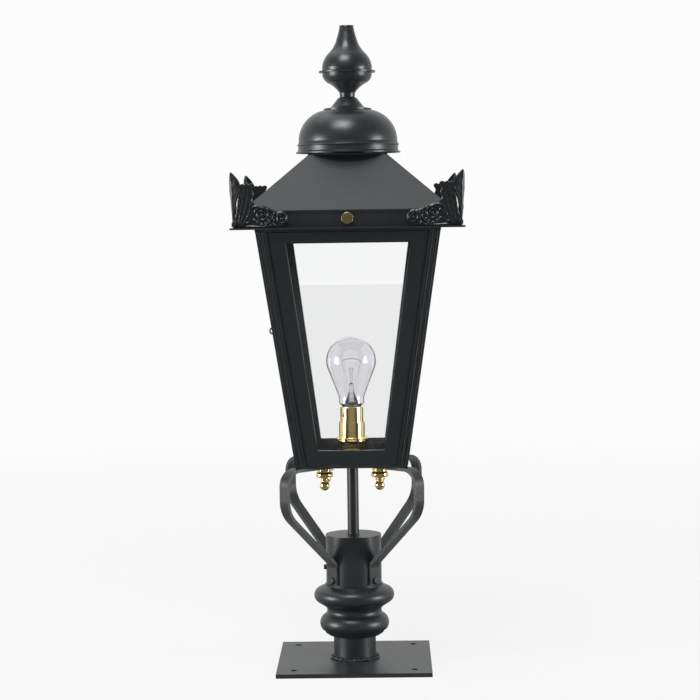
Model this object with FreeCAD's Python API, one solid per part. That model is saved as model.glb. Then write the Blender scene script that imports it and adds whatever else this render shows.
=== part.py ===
"""Post top lantern: base plate and pedestal, four frog arms, glazed tapered body, hinged gallery roof."""
import FreeCAD, Part
import math
import os
from FreeCAD import Matrix, Vector

# Driving dimensions in millimetres. Origin: centre of the base plate's underside, +Z up, front is -Y.

# Base plate and pedestal
plate_side = 184.0
plate_thickness = 5.0
bolt_spacing = 143.0
bolt_hole_radius = 4.0
cable_hole_radius = 12.0
tube_radius = 25.5
tube_wall = 3.0
weld_leg = 3.5
knuckle_bottom = 34.0
knuckle_bulge_radius = 41.8
knuckle_neck_radius = 33.0
knuckle_collar_radius = 48.5
knuckle_top = 96.0
tube_engagement = 20.0
spigot_length = 30.0

# Post socket
socket_radius = 33.5
socket_wall = 4.0
socket_height = 60.0
set_screw_radius = 3.0
set_screw_height = 20.0
set_screw_stand_out = 3.0

# Frog arms
arm_width = 14.0
arm_thickness = 4.0
arm_foot_height = 2.0
arm_bend_height = 27.0
arm_bend_radius = 9.0
arm_reach = 111.0
arm_knee_drop = 50.0
arm_knee_radius = 34.0
arm_top_radius = 18.0
arm_end_radius = 37.0
arm_bolt_radius = 2.5
arm_bolt_head_radius = 4.2
arm_bolt_head_height = 3.0
arm_bolt_height = 7.0
drop_spacing = 66.0
drop_stud_radius = 3.0
drop_ball_radius = 6.0
drop_nut_flats = 10.0
drop_nut_height = 5.0

# Centre conduit
conduit_radius = 6.9
conduit_wall = 1.4
lock_nut_flats = 22.0
lock_nut_height = 4.0

# Lantern body, a square frustum between body_bottom and body_top
body_bottom = 244.0
body_top = 526.0
body_half_bottom = 66.0
body_half_top = 107.0
pan_thickness = 3.0
top_plate_thickness = 3.0
top_plate_width = 19.0
upstand_offset = 14.0
upstand_wall = 3.0
upstand_height = 15.0
bar_width = 13.0
bar_thickness = 5.0
bar_lip_width = 5.0
bar_lip_thickness = 2.0
flute_radius = 1.5
flute_depth = 1.1
frame_set_back = 1.0
frame_gap = 0.6
frame_top_rail = 13.0
frame_bottom_rail = 18.0
frame_stile_bottom = 16.0
frame_stile_top = 19.0
pane_thickness = 3.0
pane_lap = 7.0
pane_side_gap = 1.0
clip_width = 12.0
clip_metal = 1.5
frame_screw_radius = 1.5
frame_screw_head_radius = 2.4
frame_screw_head_height = 1.4
body_screw_radius = 1.5
body_screw_length = 11.0
body_screw_inset = 4.2
body_screw_head_radius = 2.8
moving_gap = 0.3
door_top_gap = 0.8

# Hinges of the door and the roof
hinge_length = 36.0
hinge_barrel_radius = 2.7
hinge_pin_radius = 1.3
hinge_running_clearance = 0.06
hinge_leaf_width = 12.0
hinge_leaf_thickness = 1.5
hinge_knuckle_gap = 0.4
pin_head_radius = 2.2
pin_head_height = 1.0
door_hinge_heights = (50.0, 235.0)
roof_hinge_offset = 62.0
loop_height = 165.0
loop_radius = 4.5
loop_wire_radius = 0.9
catch_radius = 1.8
catch_length = 9.0

# Gallery and roof
lip_half = 134.0
lip_thickness = 2.0
lip_inner_half = 98.0
band_half = 124.6
band_wall = 3.0
band_top = 548.0
ledge_width = 1.4
ledge_thickness = 2.0
roof_half_bottom = 120.0
roof_half_top = 46.6
roof_top = 612.0
sheet_thickness = 2.0
vent_plate_thickness = 2.0
vent_radius = 42.0
vent_wall = 2.0
vent_height = 26.0
screw_head_radius = 7.0
screw_head_height = 3.0
screw_shank_radius = 2.5
screw_slot_width = 1.4
screw_slot_depth = 1.2
screw_tip_gap = 1.0
bush_radius = 5.5
bush_length = 9.0

# Dome and finial
dome_lip_radius = 62.5
dome_band_radius = 60.0
dome_bottom = 615.0
dome_wall = 1.5
dome_top = 666.0
strap_width = 12.0
strap_thickness = 3.0
tie_rod_radius = 3.0
spacer_wall = 2.5
finial_base_radius = 28.5
finial_neck_radius = 9.0
finial_bowl_radius = 29.4
finial_disc_radius = 33.7
finial_disc_thickness = 2.0
finial_bulb_radius = 29.8
finial_tip_radius = 8.3
finial_base_height = 17.0
finial_bowl_height = 27.5
finial_bulb_height = 53.7

# Corner ornaments
ornament_thickness = 3.0
ornament_lean = 5.0
leaf_height = 63.5
leaf_half_width = 9.5
leaf_fold = 0.45
leaf_metal = 2.2
scroll_radius = 7.5
scroll_distance = 53.0
scroll_height = 11.0
rib_width = 1.7
rib_height = 1.3
ornament_screw_radius = 1.6
ornament_screw_head_radius = 3.0
ornament_screw_head_height = 1.6
ornament_screw_inset = 38.0
ornament_screw_height = 8.0

# Lampholder and lamp
collar_radius = 9.6
collar_height = 7.0
cap_height = 14.0
ring_radius = 19.0
ring_thickness = 2.4
sleeve_radius = 15.5
sleeve_wall = 2.4
sleeve_height = 18.0
barrel_radius = 13.9
barrel_wall = 2.5
barrel_height = 18.0
bayonet_slot_width = 3.0
bayonet_slot_depth = 11.0
bayonet_azimuth = 25.0
bayonet_turn = 24.0
lamp_cap_radius = 11.0
lamp_cap_depth = 18.2
lamp_pin_radius = 1.0
lamp_pin_reach = 1.9
lamp_radius = 30.0
lamp_height = 86.0
lamp_neck_radius = 15.4
lamp_glass = 0.9
cap_rim = 1.4
plunger_radius = 2.0
plunger_spacing = 10.0
plunger_clearance = 0.06
plunger_travel = 2.0
plunger_height = 11.0
plunger_wall = 0.6
spring_wire = 0.5
spring_turns = 4

# Heights and directions that follow from the dimensions above
Z_AXIS = Vector(0, 0, 1)
ORIGIN = Vector(0, 0, 0)
socket_top = knuckle_top + socket_height
body_rise = body_top - body_bottom
body_spread = body_half_top - body_half_bottom
slant_length = math.hypot(body_rise, body_spread)
slant_angle = math.degrees(math.atan2(body_spread, body_rise))
slant_cosine = body_rise / slant_length
glazing_bottom = body_bottom + pan_thickness
glazing_top = body_top - top_plate_thickness
frame_back = bar_thickness * slant_cosine
lid_bottom = body_top + moving_gap
band_bottom = lid_bottom + lip_thickness
roof_pitch = (roof_half_bottom - roof_half_top) / (roof_top - band_top)
upstand_half = body_half_top - upstand_offset
hinge_axis_y = body_half_top + hinge_leaf_thickness + hinge_barrel_radius + moving_gap
hinge_axis_z = body_top - hinge_barrel_radius - moving_gap
holder_bottom = body_bottom + pan_thickness + lock_nut_height
cap_bottom = holder_bottom + collar_height
ring_bottom = cap_bottom + cap_height
sleeve_bottom = ring_bottom + ring_thickness
barrel_bottom = sleeve_bottom + sleeve_height
barrel_top = barrel_bottom + barrel_height
lamp_bottom = barrel_top - lamp_cap_depth
strap_bottom = roof_top + vent_plate_thickness + vent_height
finial_bottom = dome_top
bowl_bottom = finial_bottom + finial_base_height
disc_bottom = bowl_bottom + finial_bowl_height
bulb_bottom = disc_bottom + finial_disc_thickness

SIDES = {"front": 0, "right": 90, "back": 180, "left": 270}
FIXED_SIDES = ("front", "right", "back")


def export(name, *solids):
    """Write one sub-part, or a group of like pieces, to its own file."""
    shape = solids[0] if len(solids) == 1 else Part.makeCompound(list(solids))
    shape.exportStep("parts/" + name + ".step")


def turned(start, *steps):
    """Solid of revolution about Z: each step is a point (r, z) or an arc (mid point, end point)."""
    edges = []
    here = Vector(start[0], 0, start[1])
    for step in steps + (start,):
        if isinstance(step[0], tuple):
            middle = Vector(step[0][0], 0, step[0][1])
            there = Vector(step[1][0], 0, step[1][1])
            edges.append(Part.Arc(here, middle, there).toShape())
        else:
            there = Vector(step[0], 0, step[1])
            edges.append(Part.LineSegment(here, there).toShape())
        here = there
    return Part.Face(Part.Wire(edges)).revolve(ORIGIN, Z_AXIS, 360)


def rod(radius, bottom, top, x=0.0, y=0.0):
    return Part.makeCylinder(radius, top - bottom, Vector(x, y, bottom))


def tube(outer, inner, bottom, top):
    return rod(outer, bottom, top).cut(rod(inner, bottom - 1, top + 1))


def box(x0, x1, y0, y1, z0, z1):
    return Part.makeBox(x1 - x0, y1 - y0, z1 - z0, Vector(x0, y0, z0))


def square_block(half, bottom, top):
    return box(-half, half, -half, half, bottom, top)


def square_ring(outer, inner, bottom, top):
    return square_block(outer, bottom, top).cut(square_block(inner, bottom - 1, top + 1))


def hexagon(flats, bottom, height):
    corner = flats / math.sqrt(3)
    points = [Vector(corner * math.cos(math.radians(60 * k)), corner * math.sin(math.radians(60 * k)), bottom)
              for k in range(7)]
    return Part.Face(Part.makePolygon(points)).extrude(Vector(0, 0, height))


def polygon_face(points):
    return Part.Face(Part.makePolygon(points + [points[0]]))


def upright_plate(outline, near, far):
    """Plate in the XZ plane, given as (x, z) points, from y = near to y = far."""
    return polygon_face([Vector(x, near, z) for x, z in outline]).extrude(Vector(0, far - near, 0))


def moved(shape, x=0.0, y=0.0, z=0.0):
    copy = shape.copy()
    copy.translate(Vector(x, y, z))
    return copy


def turned_about_z(shape, degrees):
    copy = shape.copy()
    copy.rotate(ORIGIN, Z_AXIS, degrees)
    return copy


def four_round(shape):
    return [turned_about_z(shape, 90 * k) for k in range(4)]


def on_side(shape, degrees):
    """Carry a shape from a side's own plane (x across, y inwards, z up the slope) onto that side."""
    copy = shape.copy()
    copy.rotate(ORIGIN, Vector(1, 0, 0), slant_angle)
    copy.translate(Vector(0, -body_half_bottom, body_bottom))
    copy.rotate(ORIGIN, Z_AXIS, degrees)
    return copy


def half_width(slant):
    """Half the body's width at a distance up the slope."""
    return body_half_bottom + body_spread * slant / slant_length


# Base, pedestal and socket

def base_plate():
    plate = square_block(plate_side / 2, 0, plate_thickness).cut(rod(cable_hole_radius, -1, plate_thickness + 1))
    reach = bolt_spacing / 2
    for x in (-reach, reach):
        for y in (-reach, reach):
            plate = plate.cut(rod(bolt_hole_radius, -1, plate_thickness + 1, x, y))
    return plate


def weld_bead():
    return turned((tube_radius, plate_thickness), (tube_radius + weld_leg, plate_thickness),
                  ((tube_radius + 0.6 * weld_leg, plate_thickness + 0.6 * weld_leg),
                   (tube_radius, plate_thickness + weld_leg)))


def knuckle_casting():
    """One casting: step rings, lower bulge, neck, upper bulge and the spigot that carries the socket."""
    low = knuckle_bottom
    outer = knuckle_bulge_radius
    neck = knuckle_neck_radius
    collar = knuckle_collar_radius
    spigot = socket_radius - socket_wall
    seat = low + tube_engagement
    return turned((tube_radius, low), (tube_radius + 6, low), (tube_radius + 8, low + 2),
                  (tube_radius + 9.5, low + 2.4), (tube_radius + 11, low + 5), (outer - 2.5, low + 7),
                  ((outer, low + 15), (neck + 2, low + 25)),
                  ((neck, low + 30), (neck + 3, low + 35)),
                  (collar - 5, low + 40),
                  ((collar, low + 48), (collar - 6, low + 57)),
                  (socket_radius + 1.5, knuckle_top - 1.5), (socket_radius + 1.5, knuckle_top),
                  (spigot, knuckle_top), (spigot, knuckle_top + spigot_length),
                  (cable_hole_radius, knuckle_top + spigot_length), (cable_hole_radius, seat),
                  (tube_radius, seat))


def radial(shape, degrees):
    """Turn a shape that was made along +X, at its true height, to another azimuth."""
    return turned_about_z(shape, degrees)


def radial_rod(radius, start, end, height):
    return Part.makeCylinder(radius, end - start, Vector(start, 0, height), Vector(1, 0, 0))


def set_screw_shape(radius):
    return radial_rod(radius, socket_radius - socket_wall, socket_radius + set_screw_stand_out,
                      knuckle_top + set_screw_height)


def post_socket():
    """Wall of the socket, drilled for the set screws and the arm bolts."""
    socket = tube(socket_radius, socket_radius - socket_wall, knuckle_top, socket_top - socket_wall)
    for degrees in (90, 180):
        socket = socket.cut(radial(set_screw_shape(set_screw_radius), degrees))
    for k in range(4):
        socket = socket.cut(radial(arm_bolt_shank(), 45 + 90 * k))
    return socket


def socket_cap():
    """Disc welded on top of the socket's wall, bored for the conduit."""
    return tube(socket_radius, conduit_radius, socket_top - socket_wall, socket_top)


def set_screws():
    screw = set_screw_shape(set_screw_radius)
    slot_start = socket_radius + set_screw_stand_out - 1.2
    height = knuckle_top + set_screw_height
    screw = screw.cut(box(slot_start, slot_start + 3, -5, 5, height - 0.5, height + 0.5))
    return [radial(screw, 90), radial(screw, 180)]


# Frog arms and brass drops

def arm_corners():
    """Corner points of the arm's centre line as (radius, height), and the bend radius at each."""
    inner = socket_radius + arm_thickness / 2 - 0.7
    top = body_bottom - arm_thickness / 2
    return [((inner, knuckle_top + arm_foot_height), 0.0),
            ((inner, knuckle_top + arm_bend_height), arm_bend_radius),
            ((arm_reach, top - arm_knee_drop), arm_knee_radius),
            ((arm_reach, top), arm_top_radius),
            ((arm_end_radius, top), 0.0)]


def arm_centre_line():
    """Straight runs joined by tangent arcs in the XZ plane."""
    corners = [(Vector(r, 0, z), bend) for (r, z), bend in arm_corners()]
    edges = []
    here = corners[0][0]
    for k in range(1, len(corners) - 1):
        corner, bend = corners[k]
        back = (corners[k - 1][0] - corner).normalize()
        ahead = (corners[k + 1][0] - corner).normalize()
        half_turn = (math.pi - back.getAngle(ahead)) / 2
        reach = bend * math.tan(half_turn)
        start = corner + back * reach
        end = corner + ahead * reach
        inwards = (back + ahead).normalize()
        middle = corner + inwards * (bend / math.cos(half_turn) - bend)
        edges.append(Part.LineSegment(here, start).toShape())
        edges.append(Part.Arc(start, middle, end).toShape())
        here = end
    edges.append(Part.LineSegment(here, corners[-1][0]).toShape())
    return Part.Wire(edges)


def arm_bolt_shank():
    return radial_rod(arm_bolt_radius, socket_radius - socket_wall, socket_radius + arm_thickness,
                      knuckle_top + arm_bolt_height)


def frog_arm():
    """Flat bar bent along the centre line, with a foot that saddles the socket."""
    line = arm_centre_line()
    start = line.Vertexes[0].Point
    half_width_y = arm_width / 2
    half_metal = arm_thickness / 2
    section = polygon_face([Vector(start.x - half_metal, -half_width_y, start.z),
                            Vector(start.x + half_metal, -half_width_y, start.z),
                            Vector(start.x + half_metal, half_width_y, start.z),
                            Vector(start.x - half_metal, half_width_y, start.z)])
    bar = line.makePipeShell([section.OuterWire], True, False)
    arm = bar.cut(rod(socket_radius, knuckle_top, socket_top))
    arm = arm.cut(arm_bolt_shank())
    stud_radius = drop_spacing / math.sqrt(2)
    return arm.cut(rod(drop_stud_radius, body_bottom - arm_thickness - 1, body_bottom + 1, stud_radius))


def arm_bolt():
    height = knuckle_top + arm_bolt_height
    face = socket_radius + arm_thickness - 0.7
    head = radial_rod(arm_bolt_head_radius, face, face + arm_bolt_head_height, height)
    rim = [edge for edge in head.Edges if edge.BoundBox.XLength < 1e-6 and edge.BoundBox.XMin > face + 1]
    head = head.makeFillet(arm_bolt_head_height * 0.4, rim)
    shank = radial_rod(arm_bolt_radius, socket_radius - socket_wall, face + 0.5, height)
    return head.fuse(shank).removeSplitter()


def brass_drop():
    """Turned drop nut: collar, cup, neck and ball, bored for its stud."""
    top = body_bottom - arm_thickness
    ball = drop_ball_radius
    neck = 3.75
    foot = top - 26.5
    stud = drop_stud_radius
    drop = turned((0, foot), ((ball * 0.72, foot + ball * 0.3), (ball, foot + ball)),
                  ((ball * 0.86, foot + ball * 1.5), (neck, foot + ball * 1.8)), (neck, top - 12),
                  ((6.5, top - 10.6), (9.8, top - 10)), ((10.2, top - 8), (9.6, top - 5)), (8.2, top - 4),
                  (8.5, top - 3), (8.5, top), (stud, top), (stud, top - 9), (0, top - 9))
    return moved(drop, drop_spacing / 2, drop_spacing / 2)


def drop_stud():
    low = body_bottom - arm_thickness - 9
    high = body_bottom + pan_thickness + drop_nut_height + 2
    return rod(drop_stud_radius, low, high, drop_spacing / 2, drop_spacing / 2)


def drop_nut():
    nut = hexagon(drop_nut_flats, glazing_bottom, drop_nut_height)
    nut = nut.cut(rod(drop_stud_radius, glazing_bottom - 1, glazing_bottom + drop_nut_height + 1))
    return moved(nut, drop_spacing / 2, drop_spacing / 2)


# Conduit

def conduit_tube():
    return tube(conduit_radius, conduit_radius - conduit_wall, socket_top - 2 * socket_wall - lock_nut_height,
                cap_bottom + 2)


def lock_nut(bottom):
    nut = hexagon(lock_nut_flats, bottom, lock_nut_height)
    return nut.cut(rod(conduit_radius, bottom - 1, bottom + lock_nut_height + 1))


# Lantern body

def body_screw_place(height):
    """Distance of a corner screw from the centre lines at a height, inside the solid corner of the bar."""
    return body_half_bottom + body_spread * (height - body_bottom) / body_rise - body_screw_inset


def corner_screw(face, inwards):
    """Countersunk screw through a plate's outer face into the end of a corner bar."""
    sink = body_screw_head_radius - body_screw_radius
    place = body_screw_place(face + inwards * body_screw_length / 2)
    profile = turned((0, 0), (body_screw_head_radius, 0), (body_screw_radius, sink),
                     (body_screw_radius, body_screw_length), (0, body_screw_length))
    if inwards < 0:
        profile.rotate(ORIGIN, Vector(1, 0, 0), 180)
    return moved(profile, place, place, face)


def corner_screws():
    return four_round(corner_screw(body_bottom, 1)) + four_round(corner_screw(body_top, -1))


def base_pan():
    pan = square_block(body_half_bottom, body_bottom, glazing_bottom).cut(rod(conduit_radius, 0, body_top))
    for hole in four_round(drop_stud()) + four_round(corner_screw(body_bottom, 1)):
        pan = pan.cut(hole)
    return pan


def top_frame():
    """Flat ring on the bars and frames, with the upstand that locates the roof."""
    inner = body_half_top - top_plate_width
    ring = square_ring(body_half_top, inner, glazing_top, body_top)
    upstand = square_ring(upstand_half, upstand_half - upstand_wall, body_top, body_top + upstand_height)
    frame = ring.fuse(upstand).removeSplitter()
    for hole in four_round(corner_screw(body_top, -1)):
        frame = frame.cut(hole)
    return frame


def corner_bar():
    """Fluted angle with a rebate lip on each leg, drawn out along the sloping front left corner."""
    wide = bar_width
    thick = bar_thickness
    lip = thick + bar_lip_thickness
    reach = wide + bar_lip_width
    rise = glazing_top - glazing_bottom
    corner = body_half_bottom + body_spread * pan_thickness / body_rise
    outline = [(0, 0), (wide, 0), (wide, thick), (reach, thick), (reach, lip), (lip, lip), (lip, reach),
               (thick, reach), (thick, wide), (0, wide)]
    profile = polygon_face([Vector(x - corner, y - corner, glazing_bottom) for x, y in outline])
    for along in (0.3 * wide, 0.7 * wide):
        for x, y in ((along, flute_depth - flute_radius), (flute_depth - flute_radius, along)):
            flute = Part.Circle(Vector(x - corner, y - corner, glazing_bottom), Z_AXIS, flute_radius)
            profile = profile.cut(Part.Face(Part.Wire(flute.toShape())))
    spread = body_spread * rise / body_rise
    bar = profile.extrude(Vector(-spread, -spread, rise))
    for screw in (corner_screw(body_bottom, 1), corner_screw(body_top, -1)):
        bar = bar.cut(turned_about_z(screw, 180))
    for screw in frame_screws_of_corner():
        bar = bar.cut(screw)
    return bar


def frame_outline(margin, low, high):
    """Corners of a trapezium that keeps a margin from the body's edges, as (x, z) on the slope."""
    return [(margin - half_width(low), low), (half_width(low) - margin, low),
            (half_width(high) - margin, high), (margin - half_width(high), high)]


def slope_low():
    return pan_thickness / slant_cosine + 0.1


def slope_high():
    return slant_length - (top_plate_thickness + bar_thickness * math.sin(math.radians(slant_angle))) / slant_cosine


def glazing_frame(back, trim=0.0):
    """Trapezium frame between two corner bars, open for its pane. The door's is trimmed at the top."""
    edge = bar_width + frame_gap
    low = slope_low()
    high = slope_high()
    outer = upright_plate(frame_outline(edge, low, high - trim), frame_set_back, back)
    sill = low + frame_bottom_rail
    head = high - frame_top_rail
    left = half_width(sill) - edge - frame_stile_bottom
    right = half_width(head) - edge - frame_stile_top
    opening = [(-left, sill), (left, sill), (right, head), (-right, head)]
    return outer.cut(upright_plate(opening, -5, back + 5))


def pane(back):
    edge = bar_width + bar_lip_width + pane_side_gap
    low = slope_low() + frame_bottom_rail - pane_lap
    high = slope_high() - frame_top_rail + pane_lap
    return upright_plate(frame_outline(edge, low, high), back, back + pane_thickness)


def pane_clips(back):
    """Four bent clips that hold a pane to the back of its frame, two on the sill and two on the head."""
    clips = []
    low = slope_low() + frame_bottom_rail - pane_lap
    high = slope_high() - frame_top_rail + pane_lap
    for edge, away in ((low, -1), (high, 1)):
        foot = away * 5.0
        reach = -away * 4.0
        over = back + pane_thickness
        for x in (-0.45 * half_width(edge), 0.45 * half_width(edge)):
            outline = [Vector(x - clip_width / 2, y, edge + z) for y, z in (
                (back, away * 0.2), (back, foot), (back + clip_metal, foot),
                (back + clip_metal, away * (0.2 + clip_metal)), (over + clip_metal, away * (0.2 + clip_metal)),
                (over + clip_metal, reach), (over, reach), (over, away * 0.2))]
            clips.append(polygon_face(outline).extrude(Vector(clip_width, 0, 0)))
    return clips


def frame_screw(x, z):
    """Screw from inside through the bar's lip into a fixed frame."""
    lip = frame_back + bar_lip_thickness * slant_cosine
    shank = Part.makeCylinder(frame_screw_radius, lip - frame_set_back - 1, Vector(x, frame_set_back + 1, z),
                              Vector(0, 1, 0))
    head = Part.makeCylinder(frame_screw_head_radius, frame_screw_head_height, Vector(x, lip, z), Vector(0, 1, 0))
    return shank.fuse(head).removeSplitter()


def frame_screw_places():
    margin = bar_width + bar_lip_width / 2
    return [(side * (half_width(z) - margin), z) for z in (0.2 * slant_length, 0.8 * slant_length)
            for side in (-1, 1)]


def frame_screws_of_side(degrees):
    return [on_side(frame_screw(x, z), degrees) for x, z in frame_screw_places()]


def frame_screws_of_corner():
    """The screws that pass through the two lips of the front left bar."""
    front = [on_side(frame_screw(x, z), 0) for x, z in frame_screw_places() if x < 0]
    left = [on_side(frame_screw(x, z), 270) for x, z in frame_screw_places() if x > 0]
    return front + left


# Door on the left side: hinges, pull loop and catch

def door_axis_frame():
    """Matrix that carries hinge parts (x over the bar, y outwards, z up the axis) to the door's hinge line."""
    edge = bar_width + frame_gap / 2
    direction = Vector(-body_spread, body_spread, body_rise).normalize()
    outwards = Vector(-math.cos(math.radians(slant_angle)), 0, -math.sin(math.radians(slant_angle)))
    across = outwards.cross(direction)
    stand = hinge_barrel_radius + moving_gap
    base = Vector(-body_half_bottom, body_half_bottom - edge, body_bottom) + outwards * stand
    return Matrix(across.x, outwards.x, direction.x, base.x,
                  across.y, outwards.y, direction.y, base.y,
                  across.z, outwards.z, direction.z, base.z, 0, 0, 0, 1)


def hinge_leaf(moving):
    """Half of a butt hinge about the Z axis. The moving half has the middle knuckle, and lies on -X."""
    third = hinge_length / 3
    outer = hinge_barrel_radius
    side = -1 if moving else 1
    low = -outer - moving_gap
    spans = [(third + hinge_knuckle_gap, 2 * third - hinge_knuckle_gap)] if moving else \
        [(0, third), (2 * third, hinge_length)]
    x0, x1 = sorted((side * (outer + moving_gap), side * (outer + hinge_leaf_width)))
    pad = frame_set_back if moving else 0
    leaf = box(x0, x1, low - pad, low + hinge_leaf_thickness, 0, hinge_length)
    for start, end in spans:
        x0, x1 = sorted((0, side * (outer + 1)))
        leaf = leaf.fuse(box(x0, x1, low, low + hinge_leaf_thickness, start, end)).fuse(rod(outer, start, end))
    bore = hinge_pin_radius + (hinge_running_clearance if moving else 0)
    return leaf.removeSplitter().cut(rod(bore, -1, hinge_length + 1))


def hinge_pin():
    pin = rod(hinge_pin_radius, 0, hinge_length)
    for end in (-pin_head_height, hinge_length):
        pin = pin.fuse(rod(pin_head_radius, end, end + pin_head_height))
    return pin.removeSplitter()


def on_door_axis(shape, height):
    return moved(shape, z=height).transformed(door_axis_frame(), True)


def door_hinge_pieces(shape):
    return [on_door_axis(shape, height) for height in door_hinge_heights]


def pull_loop():
    """Wire staple on the front stile of the door."""
    x = half_width(loop_height) - bar_width - frame_gap - frame_stile_bottom / 2
    ring = Part.makeTorus(loop_radius - loop_wire_radius, loop_wire_radius, ORIGIN, Vector(1, 0, 0))
    ring = ring.common(box(-5, 5, -2 * loop_radius, 0, -2 * loop_radius, 2 * loop_radius))
    legs = [Part.makeCylinder(loop_wire_radius, 2.0, Vector(0, 0, z), Vector(0, 1, 0))
            for z in (loop_wire_radius - loop_radius, loop_radius - loop_wire_radius)]
    staple = ring.fuse(legs).removeSplitter()
    return on_side(moved(staple, x, 0, loop_height), 270)


def catch_stud():
    """Catch stud through the lip of the front left bar, just behind the closed door."""
    x = half_width(loop_height) - bar_width - bar_lip_width / 2
    stud = Part.makeCylinder(catch_radius, catch_length, Vector(x, frame_back, loop_height), Vector(0, 1, 0))
    lip = frame_back + bar_lip_thickness * slant_cosine
    flange = Part.makeCylinder(catch_radius + 0.6, 1.5, Vector(x, lip, loop_height), Vector(0, 1, 0))
    return on_side(stud.fuse(flange).removeSplitter(), 270)


# Roof hinge at the back

def on_roof_axis(shape, x):
    """Carry a hinge half (x outwards, y up, z along the pin) to the roof's hinge line, centred on x."""
    matrix = Matrix(0, 0, 1, x - hinge_length / 2, 1, 0, 0, hinge_axis_y, 0, 1, 0, hinge_axis_z, 0, 0, 0, 1)
    return shape.transformed(matrix, True)


def roof_hinge_fixed():
    """Upright leaf on the rear edge of the top frame, with its two outer knuckles."""
    third = hinge_length / 3
    outer = hinge_barrel_radius
    face = body_half_top - hinge_axis_y
    height = body_top - hinge_axis_z
    leaf = box(face, face + hinge_leaf_thickness, height - hinge_leaf_width, height, 0, hinge_length)
    for start, end in ((0, third), (2 * third, hinge_length)):
        leaf = leaf.fuse(box(face, 0, -1.2, 1.2, start, end)).fuse(rod(outer, start, end))
    return leaf.removeSplitter().cut(rod(hinge_pin_radius, -1, hinge_length + 1))


def roof_hinge_moving():
    """Flat leaf under the gallery lip, with the middle knuckle."""
    third = hinge_length / 3
    outer = hinge_barrel_radius
    top = lid_bottom - hinge_axis_z
    start = third + hinge_knuckle_gap
    end = 2 * third - hinge_knuckle_gap
    leaf = box(outer + 1, outer + hinge_leaf_width, top - hinge_leaf_thickness, top, 0, hinge_length)
    leaf = leaf.fuse(box(0, outer + 2, top - hinge_leaf_thickness, top, start, end)).fuse(rod(outer, start, end))
    return leaf.removeSplitter().cut(rod(hinge_pin_radius + hinge_running_clearance, -1, hinge_length + 1))


def roof_hinge_pieces(shape):
    return [on_roof_axis(shape, x) for x in (-roof_hinge_offset, roof_hinge_offset)]


# Gallery and roof

def gallery_lip():
    return square_ring(lip_half, lip_inner_half, lid_bottom, band_bottom)


def roof_screw_height():
    return (band_bottom + band_top) / 2


def front_rod(radius, outer_face, inner_face):
    """Rod along +Y at the roof screw's height, between two distances in front of the centre."""
    return Part.makeCylinder(radius, outer_face - inner_face, Vector(0, -outer_face, roof_screw_height()),
                             Vector(0, 1, 0))


def gallery_band():
    wall = square_ring(band_half, band_half - band_wall, band_bottom, band_top - ledge_thickness)
    ledge = square_ring(band_half + ledge_width, roof_half_bottom - 2 * sheet_thickness,
                        band_top - ledge_thickness, band_top)
    band = wall.fuse(ledge).removeSplitter().cut(front_rod(bush_radius - 1.5, band_half + 1, 0))
    for screw in four_round(ornament_screw(1)) + four_round(ornament_screw(-1)):
        band = band.cut(screw)
    return band


def screw_bush():
    """Flanged bush in the front of the band, which the roof screw runs in."""
    bush = front_rod(bush_radius - 1.5, band_half, band_half - bush_length)
    flange = front_rod(bush_radius, band_half - band_wall, band_half - bush_length)
    bore = front_rod(screw_shank_radius + hinge_running_clearance, band_half + 1, 0)
    return bush.fuse(flange).removeSplitter().cut(bore)


def roof_screw():
    face = band_half + moving_gap
    head = front_rod(screw_head_radius, face + screw_head_height, face)
    rim = [edge for edge in head.Edges if edge.BoundBox.YLength < 1e-6 and edge.BoundBox.YMax < -face - 1]
    head = head.makeFillet(0.9, rim)
    slot_face = face + screw_head_height - screw_slot_depth
    middle = roof_screw_height()
    slot = box(-screw_head_radius, screw_head_radius, -face - screw_head_height - 1, -slot_face,
               middle - screw_slot_width / 2, middle + screw_slot_width / 2)
    shank = front_rod(screw_shank_radius, face + 0.5, upstand_half + screw_tip_gap)
    return head.fuse(shank).removeSplitter().cut(slot)


def roof_sheet():
    """Front sheet of the pyramid, mitred along both hips."""
    inset = sheet_thickness * math.hypot(1, roof_pitch)

    def frustum(shrink):
        wires = []
        for half, height in ((roof_half_bottom - shrink, band_top), (roof_half_top - shrink, roof_top)):
            corners = [(-half, -half), (half, -half), (half, half), (-half, half), (-half, -half)]
            wires.append(Part.makePolygon([Vector(x, y, height) for x, y in corners]))
        return Part.makeLoft(wires, True, True)

    shell = frustum(0).cut(frustum(inset))
    reach = 2 * roof_half_bottom
    wedge = polygon_face([Vector(0, 0, 0), Vector(-reach, -reach, 0), Vector(reach, -reach, 0)])
    return shell.common(wedge.extrude(Vector(0, 0, 2 * roof_top)))


def vent_collar():
    """Square flange on the roof sheets with a round collar that stands up under the dome."""
    flange = square_block(roof_half_top, roof_top, roof_top + vent_plate_thickness)
    collar = flange.fuse(rod(vent_radius, roof_top, strap_bottom)).removeSplitter()
    return collar.cut(rod(vent_radius - vent_wall, 0, 2 * roof_top))


def strap():
    bar = box(-vent_radius, vent_radius, -strap_width / 2, strap_width / 2, strap_bottom,
              strap_bottom + strap_thickness)
    return bar.cut(rod(tie_rod_radius, 0, 2 * roof_top))


def spacer_tube():
    return tube(tie_rod_radius + spacer_wall, tie_rod_radius, strap_bottom + strap_thickness,
                dome_top - dome_wall)


def tie_rod():
    return rod(tie_rod_radius, strap_bottom - 8, bulb_bottom + 12)


def strap_nut():
    nut = hexagon(10.0, strap_bottom - 5, 5.0)
    return nut.cut(rod(tie_rod_radius, 0, 2 * roof_top))


# Dome and finial

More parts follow.
